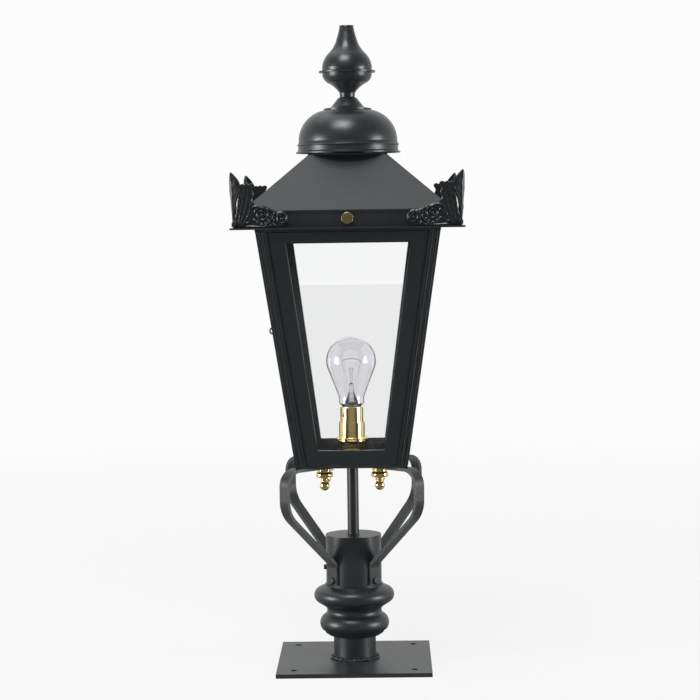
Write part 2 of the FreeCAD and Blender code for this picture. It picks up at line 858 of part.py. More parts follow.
def dome():
    """Spun dome with a rolled lip, a straight band with a bead, and round shoulders."""
    low = dome_bottom
    band = dome_band_radius
    wall = dome_wall
    top = dome_top
    shoulder = band - 1
    mid_r = 0.835 * band
    mid_z = top - 12.5
    crown = finial_base_radius
    return turned((tie_rod_radius, top), (crown, top), ((mid_r, mid_z), (shoulder, top - 37)),
                  (band - 0.3, top - 40), ((band + 0.9, top - 41.2), (band - 0.3, top - 42.4)),
                  (band, top - 48), (dome_lip_radius, low + 1.2), (dome_lip_radius, low),
                  (band - wall + 1.2, low + 0.8), (band - wall, low + 3),
                  (shoulder - wall, top - 37),
                  ((mid_r - 0.8 * wall, mid_z - wall), (crown, top - wall)), (tie_rod_radius, top - wall))


def finial_base():
    low = finial_bottom
    neck = finial_neck_radius
    wide = finial_base_radius
    top = bowl_bottom
    return turned((tie_rod_radius, low), (wide, low), (wide, low + 1.8), (wide - 4, low + 2.6),
                  ((wide - 8, low + 3.4), (wide - 10, low + 5.2)), (neck + 2.2, top - 2.6), (neck, top - 1.6),
                  (neck, top), (tie_rod_radius, top))


def finial_bowl():
    low = bowl_bottom
    wide = finial_bowl_radius
    neck = finial_neck_radius
    return turned((tie_rod_radius, low), (neck, low), (neck + 0.4, low + 3.5), ((13.6, low + 8.6), (21.5, low + 14.6)),
                  ((27.4, low + 19.2), (wide, low + 24)), (wide, disc_bottom), (tie_rod_radius, disc_bottom))


def finial_disc():
    return tube(finial_disc_radius, tie_rod_radius, disc_bottom, bulb_bottom)


def finial_bulb():
    low = bulb_bottom
    wide = finial_bulb_radius
    top = low + finial_bulb_height
    tip = finial_tip_radius
    return turned((0, low + 12), (tie_rod_radius, low + 12), (tie_rod_radius, low), (wide - 0.5, low),
                  (wide, low + 4), ((wide - 2.9, low + 14.2), (wide - 8.7, low + 21.8)),
                  ((15.6, low + 29), (12.0, low + 37.8)), (9.5, top - 7.4), (tip, top - 1.4),
                  (tip + 0.5, top - 1.1), (tip, top), (0, top))


# Cast corner ornaments

def ornament_wing_face():
    """Outline of a side wing: u runs from the corner along the band, v upwards. Flat-topped leaf, then the neck."""
    corner = ORIGIN
    shoulder = Vector(7.0, 0, 48.5)
    crown = Vector(9.5, 0, 50.5)
    brow = Vector(21.0, 0, 50.0)
    nose = Vector(23.5, 0, 47.5)
    waist = Vector(22.0, 0, 31.0)
    neck = Vector(43.0, 0, 21.5)
    scroll_top = Vector(scroll_distance, 0, scroll_height + 0.9 * scroll_radius)
    scroll_foot = Vector(scroll_distance, 0, 0)
    return Part.Face(Part.Wire([
        Part.LineSegment(corner, shoulder).toShape(),
        Part.LineSegment(shoulder, crown).toShape(),
        Part.LineSegment(crown, brow).toShape(),
        Part.LineSegment(brow, nose).toShape(),
        Part.LineSegment(nose, waist).toShape(),
        Part.Arc(waist, Vector(31.0, 0, 24.8), neck).toShape(),
        Part.LineSegment(neck, scroll_top).toShape(),
        Part.LineSegment(scroll_top, scroll_foot).toShape(),
        Part.LineSegment(scroll_foot, corner).toShape()]))


def ornament_scroll():
    """Round scroll end with a raised rim and a raised eye, turned about Y."""
    rim = scroll_radius
    scroll = turned((0, -ornament_thickness), (rim, -ornament_thickness), (rim, 0.4), (rim - 1.2, 1.8),
                    (rim - 2.6, 1.6), (rim - 3.4, 0.4), (2.6, 0.4), (1.8, 2.2), (0, 2.6))
    scroll.rotate(ORIGIN, Vector(1, 0, 0), 90)
    return moved(scroll, scroll_distance, 0, scroll_height)


def ornament_rib(end_u, end_v):
    """Tapered rib with a sharp crest, from the foot of the wing to a point on its leaf."""
    foot = Vector(8, 0, 4)
    run = Vector(end_u, 0, end_v) - foot
    across = Vector(run.z, 0, -run.x).normalize()
    sections = []
    for start, size in ((foot, 1.0), (foot + run, 0.35)):
        half = across * (rib_width * size)
        crest = start - Vector(0, rib_height * size, 0)
        sunk = Vector(0, 0.8, 0)
        sections.append(Part.makePolygon([start + sunk - half, crest, start + sunk + half, start + sunk - half]))
    return Part.makeLoft(sections, True, True)


def ornament_wing():
    """Leaf-shaped plate that leans out along the front band from the left corner, with scroll and ribs."""
    base = band_half + ornament_thickness
    plate = ornament_wing_face().extrude(Vector(0, ornament_thickness, 0))
    ribs = [ornament_rib(u, v) for u, v in ((12.5, 46.0), (19.5, 44.0), (21.0, 28.0), (38.0, 18.0))]
    wing = plate.fuse([ornament_scroll()] + ribs)
    wing.rotate(Vector(0, ornament_thickness, 0), Vector(1, 0, 0), ornament_lean)
    foot = box(0, scroll_distance + 4, 0.2, ornament_thickness, 0, 6)
    wing = wing.fuse(foot).common(box(-1, 80, -8, ornament_thickness, 0, 80))
    return moved(wing, -base, -base, band_bottom)


def ornament_leaf():
    """Centre leaf on the diagonal, folded along its midrib, from a narrow foot to a pointed tip."""
    ridge = (band_half + ornament_thickness) * math.sqrt(2) + 0.8
    sections = []
    for height, width, lean in ((0, 0.16, 0), (0.2, 0.16, 0.3), (0.45, 0.42, 1.0), (0.62, 0.74, 1.7),
                                (0.78, 1.0, 2.3), (0.9, 0.62, 3.2), (1.0, 0.06, 4.0)):
        a = leaf_half_width * width
        d = -(ridge + lean)
        fold = leaf_fold * a
        z = band_bottom + height * leaf_height
        points = [(-a, d + fold), (0, d), (a, d + fold), (a, d + fold + leaf_metal), (0, d + leaf_metal),
                  (-a, d + fold + leaf_metal), (-a, d + fold)]
        sections.append(Part.makePolygon([Vector(x, y, z) for x, y in points]))
    leaf = Part.makeLoft(sections, True, True)
    return turned_about_z(leaf, -45)


def ornament_screw(side):
    """Screw through a wing's foot into the band, on the front (1) or the left (-1) of the front left corner."""
    place = band_half + ornament_thickness - ornament_screw_inset
    face = band_half + ornament_thickness
    height = band_bottom + ornament_screw_height
    length = ornament_thickness + band_wall + 2
    shank = Part.makeCylinder(ornament_screw_radius, length + 1, Vector(-place, -face - 1, height), Vector(0, 1, 0))
    head = Part.makeCylinder(ornament_screw_head_radius, ornament_screw_head_height,
                             Vector(-place, -face - 1 - ornament_screw_head_height, height), Vector(0, 1, 0))
    screw = shank.fuse(head).removeSplitter()
    if side < 0:
        screw = screw.mirror(ORIGIN, Vector(1, -1, 0))
    return screw


def corner_ornament():
    front = ornament_wing()
    left = front.mirror(ORIGIN, Vector(1, -1, 0))
    casting = front.fuse([left, ornament_leaf()]).removeSplitter()
    for side in (1, -1):
        casting = casting.cut(ornament_screw(side))
    return max(casting.Solids, key=lambda solid: solid.Volume)


# Lampholder and lamp

def holder_cap():
    low = holder_bottom
    top = ring_bottom
    inner = conduit_radius
    wide = ring_radius - 2.2
    return turned((inner, low), (collar_radius, low), (collar_radius, cap_bottom - 1), (collar_radius - 1.6, cap_bottom),
                  ((wide - 2, cap_bottom + 5), (wide, top)), (wide - 2, top),
                  ((wide - 4.6, cap_bottom + 7), (inner + 1, cap_bottom + 2)), (inner, cap_bottom + 2))


def shade_ring():
    return turned((sleeve_radius - sleeve_wall, ring_bottom), (ring_radius - 0.5, ring_bottom),
                  ((ring_radius, ring_bottom + ring_thickness / 2), (ring_radius - 0.5, sleeve_bottom)),
                  (sleeve_radius - sleeve_wall, sleeve_bottom))


def holder_sleeve():
    return tube(sleeve_radius, sleeve_radius - sleeve_wall, sleeve_bottom, barrel_bottom)


def bayonet_slot():
    """L-shaped slot in the barrel's wall at +X: down from the rim, a short way round and up to a notch."""
    half = bayonet_slot_width / 2
    low = barrel_top - bayonet_slot_depth
    inner = lamp_cap_radius - 1
    entry = box(inner, barrel_radius + 1, -half, half, low, barrel_top + 1)
    ring = tube(barrel_radius + 1, inner, low, low + bayonet_slot_width)
    reach = 2 * barrel_radius
    end = math.radians(bayonet_turn)
    wedge = polygon_face([Vector(0, 0, low - 1), Vector(reach, 0, low - 1),
                          Vector(reach * math.cos(end), reach * math.sin(end), low - 1)])
    run = ring.common(wedge.extrude(Vector(0, 0, bayonet_slot_width + 2)))
    notch = turned_about_z(box(inner, barrel_radius + 1, -half, half, low, low + bayonet_slot_width + 1.5),
                           bayonet_turn)
    return entry.fuse([run, notch])


def holder_barrel():
    """Barrel with its floor step, which carries the insulator, and two bayonet slots."""
    barrel = tube(barrel_radius, barrel_radius - barrel_wall, barrel_bottom, barrel_top)
    for k in range(2):
        barrel = barrel.cut(turned_about_z(bayonet_slot(), bayonet_azimuth + 180 * k))
    return barrel


def plunger_places():
    return [plunger_spacing / 2, -plunger_spacing / 2]


def insulator():
    """Ceramic block in the sleeve, bored for two plungers and their springs."""
    top = plunger_top() - plunger_travel - 0.8
    block = rod(sleeve_radius - sleeve_wall, sleeve_bottom, top)
    for y in plunger_places():
        block = block.cut(rod(plunger_radius + plunger_clearance, sleeve_bottom + 3, top + 1, 0, y))
    return block


def plunger_top():
    return lamp_bottom - moving_gap


def plunger(y):
    """Hollow brass contact plunger, open below for its spring."""
    low = plunger_top() - plunger_height
    pin = rod(plunger_radius, low, plunger_top(), 0, y)
    return pin.cut(rod(plunger_radius - plunger_wall, low - 1, plunger_top() - 1.2, 0, y))


def plunger_spring(y):
    """Coil spring of square wire inside the plunger, at the length that it has when pressed."""
    low = sleeve_bottom + 3
    high = plunger_top() - 1.2 - plunger_travel - 0.2
    outer = plunger_radius - plunger_wall - 0.1
    step = (high - low - spring_wire) / spring_turns
    rings = [tube(outer, outer - spring_wire, low + step * k, low + step * k + spring_wire)
             for k in range(spring_turns + 1)]
    spine = box(outer - spring_wire, outer - 0.02, -spring_wire / 2, spring_wire / 2, low, high)
    return moved(rings[0].fuse(rings[1:] + [spine]).removeSplitter(), y=y)


def lamp_cap():
    """Metal cap with two bayonet pins, flared where it is crimped to the glass."""
    low = lamp_bottom
    radius = lamp_cap_radius
    cap = turned((radius - 0.8, low), (radius, low), (radius, barrel_top + 0.4), (radius + 2, barrel_top + 2.8),
                 (radius + 1.2, barrel_top + 2.8), (radius - 0.8, barrel_top + 0.6))
    pin_height = barrel_top - bayonet_slot_depth + bayonet_slot_width / 2
    for k in range(2):
        pin = radial_rod(lamp_pin_radius, radius - 0.5, radius + lamp_pin_reach, pin_height)
        cap = cap.fuse(turned_about_z(pin, bayonet_azimuth + 180 * k))
    return cap.removeSplitter().cut(lamp_profile(0, barrel_top + cap_rim))


def lamp_contact_plate():
    """Glass insulator that closes the cap's end, with two contacts set in it."""
    return rod(lamp_cap_radius - 0.8, lamp_bottom, lamp_bottom + 3)


def lamp_profile(shrink, floor):
    """Pear-shaped envelope: a ball on a flared throat and a straight neck, down to its sealed foot."""
    wide = lamp_radius - shrink
    neck = lamp_neck_radius - shrink
    middle = barrel_top + lamp_height - lamp_radius
    foot = lamp_cap_radius + 1.0 - shrink
    low_angle = math.radians(-20)
    join = (wide * math.cos(low_angle), middle + wide * math.sin(low_angle))
    throat = turned((0, floor), (foot, floor), (neck, barrel_top + 5), (neck, barrel_top + 12),
                    ((neck + 7.0, barrel_top + 31), join), (0, join[1]))
    return throat.fuse(Part.makeSphere(wide, Vector(0, 0, middle))).removeSplitter()


def lamp_envelope():
    floor = barrel_top + cap_rim
    return lamp_profile(0, floor).cut(lamp_profile(lamp_glass, floor + lamp_glass))


def lamp_stem():
    """Glass stem: flare in the neck, pinch, and rod with its button."""
    low = barrel_top + cap_rim + lamp_glass
    stem = turned((0, low), (9.0, low), (5.5, low + 9), (3.2, low + 16), (3.2, low + 24), (1.5, low + 27),
                  (1.5, low + 41), ((2.6, low + 43), (1.5, low + 45)), (0, low + 45))
    return stem.cut(filament())


def wire_between(points, radius):
    pieces = []
    for start, end in zip(points, points[1:]):
        run = end - start
        pieces.append(Part.makeCylinder(radius, run.Length, start, run))
        pieces.append(Part.makeSphere(radius, end))
    return pieces[0].fuse(pieces[1:]).removeSplitter()


def filament():
    """Lead wires from the pinch, spread to the ends of the filament."""
    low = barrel_top + cap_rim + lamp_glass + 23
    high = low + 30
    ends = 12.0
    left = [Vector(-2.2, 0, low - 4), Vector(-3.9, 0, low + 8), Vector(-ends, 0, high)]
    crown = [Vector(-ends / 2, 0, high + 2.5), Vector(0, 0, high + 3), Vector(ends / 2, 0, high + 2.5)]
    right = [Vector(-point.x, 0, point.z) for point in reversed(left)]
    return wire_between(left + crown + right, 0.5)


# Assembly

def export_base():
    export("base_plate", base_plate())
    export("pedestal_tube", tube(tube_radius, tube_radius - tube_wall, plate_thickness,
                                 knuckle_bottom + tube_engagement))
    export("base_weld_bead", weld_bead())
    export("knuckle_casting", knuckle_casting())
    export("post_socket", post_socket())
    export("socket_cap", socket_cap())
    export("socket_set_screws", *set_screws())
    export("frog_arms", *[radial(frog_arm(), 45 + 90 * k) for k in range(4)])
    export("arm_bolts", *[radial(arm_bolt(), 45 + 90 * k) for k in range(4)])
    export("brass_drops", *four_round(brass_drop()))
    export("drop_studs_and_nuts", *(four_round(drop_stud()) + four_round(drop_nut())))
    export("conduit_tube", conduit_tube())
    export("conduit_lock_nuts", lock_nut(glazing_bottom), lock_nut(socket_top - socket_wall - lock_nut_height))


def export_body():
    export("base_pan", base_pan())
    export("top_frame", top_frame())
    bars = four_round(corner_bar())
    export("corner_bars", bars[0].cut(catch_stud()), *bars[1:])
    panes = []
    clips = []
    screws = corner_screws()
    for side in FIXED_SIDES:
        degrees = SIDES[side]
        fixed = on_side(glazing_frame(frame_back), degrees)
        for screw in frame_screws_of_side(degrees):
            fixed = fixed.cut(screw)
        export("glazing_frame_" + side, fixed)
        panes.append(on_side(pane(frame_back), degrees))
        clips += [on_side(clip, degrees) for clip in pane_clips(frame_back)]
        screws += frame_screws_of_side(degrees)
    export("glass_panes", *panes)
    export("pane_clips", *clips)
    export("body_screws", *screws)


def export_door():
    back = frame_back - moving_gap
    export("door_frame", on_side(glazing_frame(back, door_top_gap), SIDES["left"]).cut(pull_loop()))
    export("door_pane", on_side(pane(back), SIDES["left"]))
    export("door_pane_clips", *[on_side(clip, SIDES["left"]) for clip in pane_clips(back)])
    export("door_pull_loop", pull_loop())
    export("door_catch_stud", catch_stud())
    export("door_hinge_leaves", *door_hinge_pieces(hinge_leaf(True)))
    export("fixed_hinge_leaves", *(door_hinge_pieces(hinge_leaf(False)) + roof_hinge_pieces(roof_hinge_fixed())))
    export("hinge_pins", *(door_hinge_pieces(hinge_pin()) + roof_hinge_pieces(hinge_pin())))


def export_roof():
    export("gallery_lip", gallery_lip())
    export("gallery_band", gallery_band())
    export("screw_bush", screw_bush())
    export("roof_screw", roof_screw())
    export("roof_sheets", *four_round(roof_sheet()))
    export("corner_ornaments", *four_round(corner_ornament()))
    export("ornament_screws", *(four_round(ornament_screw(1)) + four_round(ornament_screw(-1))))
    export("vent_collar", vent_collar())
    export("dome", dome())
    export("dome_strap", strap())
    export("dome_spacer", spacer_tube())
    export("tie_rod_and_nut", tie_rod(), strap_nut())
    export("finial_base", finial_base())
    export("finial_bowl", finial_bowl())
    export("finial_disc", finial_disc())
    export("finial_bulb", finial_bulb())
    export("roof_hinge_leaves", *roof_hinge_pieces(roof_hinge_moving()))


def export_lamp():
    export("lampholder_cap", holder_cap())
    export("lampholder_ring", shade_ring())
    export("lampholder_sleeve", holder_sleeve())
    export("lampholder_barrel", holder_barrel())
    export("lampholder_insulator", insulator())
    near, far = plunger_places()
    export("plunger_left", plunger(near))
    export("plunger_right", plunger(far))
    export("plunger_springs", plunger_spring(near), plunger_spring(far))
    export("lamp_cap", lamp_cap())
    export("lamp_contact_plate", lamp_contact_plate())
    export("lamp_envelope", lamp_envelope())
    export("lamp_stem", lamp_stem())
    export("lamp_filament", filament())


os.makedirs("parts", exist_ok=True)
export_base()
export_body()
export_door()
export_roof()
export_lamp()
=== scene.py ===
"""Dressing of a post top lantern: satin black coat, cast leaf corners, brass lampholder and clear lamp."""
import math

import bmesh
import bpy
import numpy as np
from bpy.props import FloatProperty, FloatVectorProperty, IntProperty, PointerProperty
from mathutils import Matrix, Vector
from mathutils.geometry import delaunay_2d_cdt


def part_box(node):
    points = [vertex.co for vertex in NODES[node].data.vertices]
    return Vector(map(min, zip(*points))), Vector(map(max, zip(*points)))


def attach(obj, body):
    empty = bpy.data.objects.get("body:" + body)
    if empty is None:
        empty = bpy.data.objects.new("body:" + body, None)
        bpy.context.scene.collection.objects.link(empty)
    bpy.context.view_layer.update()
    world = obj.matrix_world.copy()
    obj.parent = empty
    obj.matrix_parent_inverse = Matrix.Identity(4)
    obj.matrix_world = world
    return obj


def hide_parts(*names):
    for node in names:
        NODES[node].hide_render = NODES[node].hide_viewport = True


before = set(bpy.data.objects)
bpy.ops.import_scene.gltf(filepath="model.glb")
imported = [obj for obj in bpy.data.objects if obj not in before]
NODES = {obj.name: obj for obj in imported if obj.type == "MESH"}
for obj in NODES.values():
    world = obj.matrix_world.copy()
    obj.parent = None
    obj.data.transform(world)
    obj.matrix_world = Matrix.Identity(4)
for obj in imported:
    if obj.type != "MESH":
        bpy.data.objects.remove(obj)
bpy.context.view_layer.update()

bl_info = {
    "name": "Post top lantern",
    "version": (1, 0, 0),
    "blender": (4, 5, 0),
    "location": "View3D > Sidebar > Lantern",
    "description": "Finishes and fine detail of a four-sided glazed lantern on a bolt-down pedestal",
    "category": "Object",
}

IMAGE_SIDE = 700
PAPER = 0.975

# Strength of the turned rings' bump, share of the darker tone, and rings per metre
METAL_BUMP = 0.05
METAL_SHADE = 0.25
METAL_RINGS = 2600.0

# Which finish each CAD node gets
COAT_NODES = {
    "smooth": ("base_pan", "top_frame", "corner_bars", "glazing_frame_front", "glazing_frame_right",
               "glazing_frame_back", "door_frame", "door_pull_loop", "gallery_lip", "gallery_band",
               "vent_collar", "dome_strap", "fixed_hinge_leaves", "door_hinge_leaves", "roof_hinge_leaves",
               "frog_arms", "arm_bolts", "conduit_tube", "ornament_screws", "pane_clips", "door_pane_clips",
               "body_screws", "socket_set_screws"),
    "roof": ("roof_sheets",),
    "spun": ("dome", "finial_base", "finial_bowl", "finial_disc", "finial_bulb"),
    "cast": ("knuckle_casting", "post_socket", "socket_cap"),
    "plate": ("base_plate", "pedestal_tube", "base_weld_bead"),
}
BRASS_NODES = ("brass_drops", "lampholder_cap", "lampholder_ring", "lampholder_sleeve", "lampholder_barrel")
DULL_BRASS_NODES = ("roof_screw", "screw_bush", "plunger_left", "plunger_right")
STEEL_NODES = ("conduit_lock_nuts", "hinge_pins", "tie_rod_and_nut", "dome_spacer", "door_catch_stud",
               "drop_studs_and_nuts", "plunger_springs")


class LanternFinish(bpy.types.PropertyGroup):
    """Colours of the coat, the brass and the glass."""
    coat: FloatVectorProperty(name="Coat", description="Colour of the black powder coat", subtype="COLOR",
                              size=3, default=(0.0120, 0.0155, 0.0172), min=0, max=1)
    coat_roughness: FloatProperty(name="Coat roughness", description="How matt the black coat is",
                                  default=0.36, min=0, max=1)
    brass: FloatVectorProperty(name="Brass", description="Colour of the polished brass", subtype="COLOR",
                               size=3, default=(0.87, 0.69, 0.31), min=0, max=1)
    dull_brass: FloatVectorProperty(name="Dull brass", description="Colour of the roof screw",
                                    subtype="COLOR", size=3, default=(0.30, 0.26, 0.13), min=0, max=1)
    lamp_tint: FloatVectorProperty(name="Lamp tint", description="Tint of the clear lamp glass",
                                   subtype="COLOR", size=3, default=(0.93, 0.925, 0.95), min=0, max=1)


class LanternDetail(bpy.types.PropertyGroup):
    """Sizes of the fine detail that is added to the frame."""
    ornament_step: FloatProperty(name="Ornament mesh", description="Spacing of the relief's mesh",
                                 unit="LENGTH", default=0.0007, min=0.0004, max=0.003)
    knurl_count: IntProperty(name="Knurls", description="Ribs round the lampholder's collar",
                             default=44, min=8, max=90)
    ripple_count: IntProperty(name="Weld ripples", description="Ripples round the pedestal's weld",
                              default=64, min=12, max=120)


class LanternStage(bpy.types.PropertyGroup):
    """Camera and light."""
    eye_distance: FloatProperty(name="Distance", description="Camera's distance from the axis",
                                unit="LENGTH", default=2.50, min=0.5)
    eye_height: FloatProperty(name="Height", description="Camera's height above the base",
                              unit="LENGTH", default=0.553)
    eye_side: FloatProperty(name="Side", description="Camera's place to the right of the axis",
                            unit="LENGTH", default=0.040)
    focal_px: FloatProperty(name="Focal length", description="Focal length in picture widths of 700",
                            default=2083.0)
    roll: FloatProperty(name="Roll", description="Camera's turn about its own axis", subtype="ANGLE",
                        default=math.radians(0.8))
    horizon_px: FloatProperty(name="Eye level", description="Picture row of the eye level", default=205.0)
    axis_px: FloatProperty(name="Axis", description="Picture column of the lantern's axis", default=350.9)


# Nodes and materials

def node(tree, kind, **settings):
    """Add a node of that kind and set its own options, such as operation or data_type."""
    made = tree.nodes.new(kind)
    for name, value in settings.items():
        setattr(made, name, value)
    return made


def feed(made, **values):
    """Set input sockets by name, with _ for a space."""
    for name, value in values.items():
        made.inputs[name.replace("_", " ")].default_value = value
    return made


def new_group(name, inputs, outputs):
    tree = bpy.data.node_groups.new(name, "ShaderNodeTree")
    for label, kind, value in inputs:
        socket = tree.interface.new_socket(label, in_out="INPUT", socket_type=kind)
        socket.default_value = value
    for label, kind in outputs:
        tree.interface.new_socket(label, in_out="OUTPUT", socket_type=kind)
    return tree, tree.nodes.new("NodeGroupInput"), tree.nodes.new("NodeGroupOutput")


def coat_group():
    """Powder coat: fine orange peel, slow change of gloss, and dust that settles on upward faces."""
    tree, inside, out = new_group("coat_surface", [
        ("Colour", "NodeSocketColor", (0.01, 0.01, 0.01, 1)),
        ("Dust", "NodeSocketColor", (0.2, 0.2, 0.19, 1)),
        ("Dust amount", "NodeSocketFloat", 0.06), ("Roughness", "NodeSocketFloat", 0.36),
        ("Roughness change", "NodeSocketFloat", 0.08), ("Peel scale", "NodeSocketFloat", 900.0)],
        [("Colour", "NodeSocketColor"), ("Roughness", "NodeSocketFloat"), ("Height", "NodeSocketFloat")])
    link = tree.links.new
    place = node(tree, "ShaderNodeTexCoord")
    peel = node(tree, "ShaderNodeTexNoise")
    feed(peel, Detail=3.0, Roughness=0.55)
    link(place.outputs["Object"], peel.inputs["Vector"])
    link(inside.outputs["Peel scale"], peel.inputs["Scale"])
    slow = feed(node(tree, "ShaderNodeTexNoise"), Scale=14.0, Detail=4.0, Roughness=0.6)
    link(place.outputs["Object"], slow.inputs["Vector"])
    centred = node(tree, "ShaderNodeMath", operation="SUBTRACT")
    centred.inputs[1].default_value = 0.5
    link(slow.outputs["Fac"], centred.inputs[0])
    swing = node(tree, "ShaderNodeMath", operation="MULTIPLY_ADD")
    link(centred.outputs[0], swing.inputs[0])
    link(inside.outputs["Roughness change"], swing.inputs[1])
    link(inside.outputs["Roughness"], swing.inputs[2])
    split = node(tree, "ShaderNodeSeparateXYZ")
    link(place.outputs["Normal"], split.inputs[0])
    upward = feed(node(tree, "ShaderNodeMapRange"), From_Min=0.2, From_Max=1.0)
    link(split.outputs["Z"], upward.inputs["Value"])
    speck = feed(node(tree, "ShaderNodeMapRange"), From_Min=0.42, From_Max=0.72)
    link(slow.outputs["Fac"], speck.inputs["Value"])
    amount = node(tree, "ShaderNodeMath", operation="MULTIPLY")
    link(upward.outputs[0], amount.inputs[0])
    link(speck.outputs[0], amount.inputs[1])
    scaled = node(tree, "ShaderNodeMath", operation="MULTIPLY")
    link(amount.outputs[0], scaled.inputs[0])
    link(inside.outputs["Dust amount"], scaled.inputs[1])
    mix = node(tree, "ShaderNodeMix", data_type="RGBA")
    link(scaled.outputs[0], mix.inputs["Factor"])
    link(inside.outputs["Colour"], mix.inputs[6])
    link(inside.outputs["Dust"], mix.inputs[7])
    link(mix.outputs[2], out.inputs["Colour"])
    link(swing.outputs[0], out.inputs["Roughness"])
    link(peel.outputs["Fac"], out.inputs["Height"])
    return tree


def turning_group():
    """Turned metal: fine rings round the Z axis and a light change of tone."""
    tree, inside, out = new_group("turned_surface", [
        ("Colour", "NodeSocketColor", (0.8, 0.6, 0.2, 1)), ("Shade", "NodeSocketColor", (0.5, 0.35, 0.1, 1)),
        ("Shade amount", "NodeSocketFloat", 0.25), ("Roughness", "NodeSocketFloat", 0.16),
        ("Ring scale", "NodeSocketFloat", 2600.0)],
        [("Colour", "NodeSocketColor"), ("Roughness", "NodeSocketFloat"), ("Height", "NodeSocketFloat")])
    link = tree.links.new
    place = node(tree, "ShaderNodeTexCoord")
    squeeze = node(tree, "ShaderNodeMapping")
    squeeze.inputs["Scale"].default_value = (0.01, 0.01, 1.0)
    link(place.outputs["Object"], squeeze.inputs["Vector"])
    rings = feed(node(tree, "ShaderNodeTexNoise"), Detail=2.0)
    link(squeeze.outputs[0], rings.inputs["Vector"])
    link(inside.outputs["Ring scale"], rings.inputs["Scale"])
    blotch = feed(node(tree, "ShaderNodeTexNoise"), Scale=90.0, Detail=5.0, Roughness=0.65)
    link(place.outputs["Object"], blotch.inputs["Vector"])
    mask = feed(node(tree, "ShaderNodeMapRange"), From_Min=0.45, From_Max=0.75)
    link(blotch.outputs["Fac"], mask.inputs["Value"])
    amount = node(tree, "ShaderNodeMath", operation="MULTIPLY")
    link(mask.outputs[0], amount.inputs[0])
    link(inside.outputs["Shade amount"], amount.inputs[1])
    mix = node(tree, "ShaderNodeMix", data_type="RGBA")
    link(amount.outputs[0], mix.inputs["Factor"])
    link(inside.outputs["Colour"], mix.inputs[6])
    link(inside.outputs["Shade"], mix.inputs[7])
    rough = node(tree, "ShaderNodeMath", operation="MULTIPLY_ADD")
    link(blotch.outputs["Fac"], rough.inputs[0])
    rough.inputs[1].default_value = 0.12
    link(inside.outputs["Roughness"], rough.inputs[2])
    link(mix.outputs[2], out.inputs["Colour"])
    link(rough.outputs[0], out.inputs["Roughness"])
    link(rings.outputs["Fac"], out.inputs["Height"])
    return tree


GROUPS = {}


def group_tree(name):
    """The shared node group of that name, built once."""
    if name not in GROUPS:
        GROUPS[name] = {"coat": coat_group, "turning": turning_group}[name]()
    return GROUPS[name]


def surface_material(name, group, bump, shader, **values):
    """Principled material whose colour, roughness and bump come from a shared group."""
    material = bpy.data.materials.new(name)
    material.use_nodes = True
    tree = material.node_tree
    principled = tree.nodes["Principled BSDF"]
    for socket, value in shader.items():
        principled.inputs[socket].default_value = value
    made = node(tree, "ShaderNodeGroup", node_tree=group_tree(group))
    feed(made, **values)
    relief = node(tree, "ShaderNodeBump")
    relief.inputs["Strength"].default_value = bump[0]
    relief.inputs["Distance"].default_value = bump[1]
    link = tree.links.new
    link(made.outputs["Colour"], principled.inputs["Base Color"])
    link(made.outputs["Roughness"], principled.inputs["Roughness"])
    link(made.outputs["Height"], relief.inputs["Height"])
    link(relief.outputs["Normal"], principled.inputs["Normal"])
    return material


def with_alpha(colour):
    return (*colour, 1.0)


def coat_material(name, roughness=0.0, peel=900.0, bump=0.12, dust=0.05, tone=1.0):
    finish = bpy.context.scene.lantern_finish
    colour = tuple(channel * tone for channel in finish.coat)
    return surface_material(name, "coat", (bump, 0.0002), {"Specular IOR Level": 0.5},
                            Colour=with_alpha(colour), Dust=(0.11, 0.11, 0.105, 1), Dust_amount=dust,
                            Roughness=finish.coat_roughness + roughness, Roughness_change=0.10,
                            Peel_scale=peel)


def metal_material(name, colour, shade, roughness):
    return surface_material(name, "turning", (METAL_BUMP, 0.0001), {"Metallic": 1.0},
                            Colour=with_alpha(colour), Shade=with_alpha(shade), Shade_amount=METAL_SHADE,
                            Roughness=roughness, Ring_scale=METAL_RINGS)


def glass_material(name, tint, ior, roughness=0.0):
    """Clear glass that lets the light through to what stands behind it."""
    material = bpy.data.materials.new(name)
    material.use_nodes = True
    tree = material.node_tree
    principled = tree.nodes["Principled BSDF"]
    for socket, value in {"Base Color": with_alpha(tint), "Transmission Weight": 1.0, "IOR": ior,
                          "Roughness": roughness}.items():
        principled.inputs[socket].default_value = value
    clear = node(tree, "ShaderNodeBsdfTransparent")
    clear.inputs["Color"].default_value = with_alpha(tint)
    path = node(tree, "ShaderNodeLightPath")
    mix = node(tree, "ShaderNodeMixShader")
    out = tree.nodes["Material Output"]
    link = tree.links.new
    link(path.outputs["Is Shadow Ray"], mix.inputs[0])
    link(principled.outputs[0], mix.inputs[1])
    link(clear.outputs[0], mix.inputs[2])
    link(mix.outputs[0], out.inputs["Surface"])
    return material


def dress(names, material):
    """Put a material in every slot of CAD nodes."""
    for name in names:
        slots = NODES[name].material_slots
        if not len(slots):
            raise RuntimeError("no material slot on " + name)
        for slot in slots:
            slot.material = material


# Mesh helpers

def finished(name, mesh, body, material, replaced=()):
    """Make a piece of a mesh that already lies in place, give it its material, hang it on its body, and hide
    the parts it replaces.
    """
    piece = bpy.data.objects.new(name, mesh)
    bpy.context.scene.collection.objects.link(piece)
    mesh.materials.clear()
    mesh.materials.append(material)
    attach(piece, body)
    if replaced:
        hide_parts(*replaced)
    return piece


def mesh_from(bm, name, smooth=True):
    mesh = bpy.data.meshes.new(name)
    bm.to_mesh(mesh)
    bm.free()
    for face in mesh.polygons:
        face.use_smooth = smooth
    return mesh


# Cast corners: ribbed leaf, rosette and trailing scroll on each wing, and a folded leaf on the corner.
# A wing's points are (u, v) in mm: u from the corner along the band, v up from the gallery's lip.

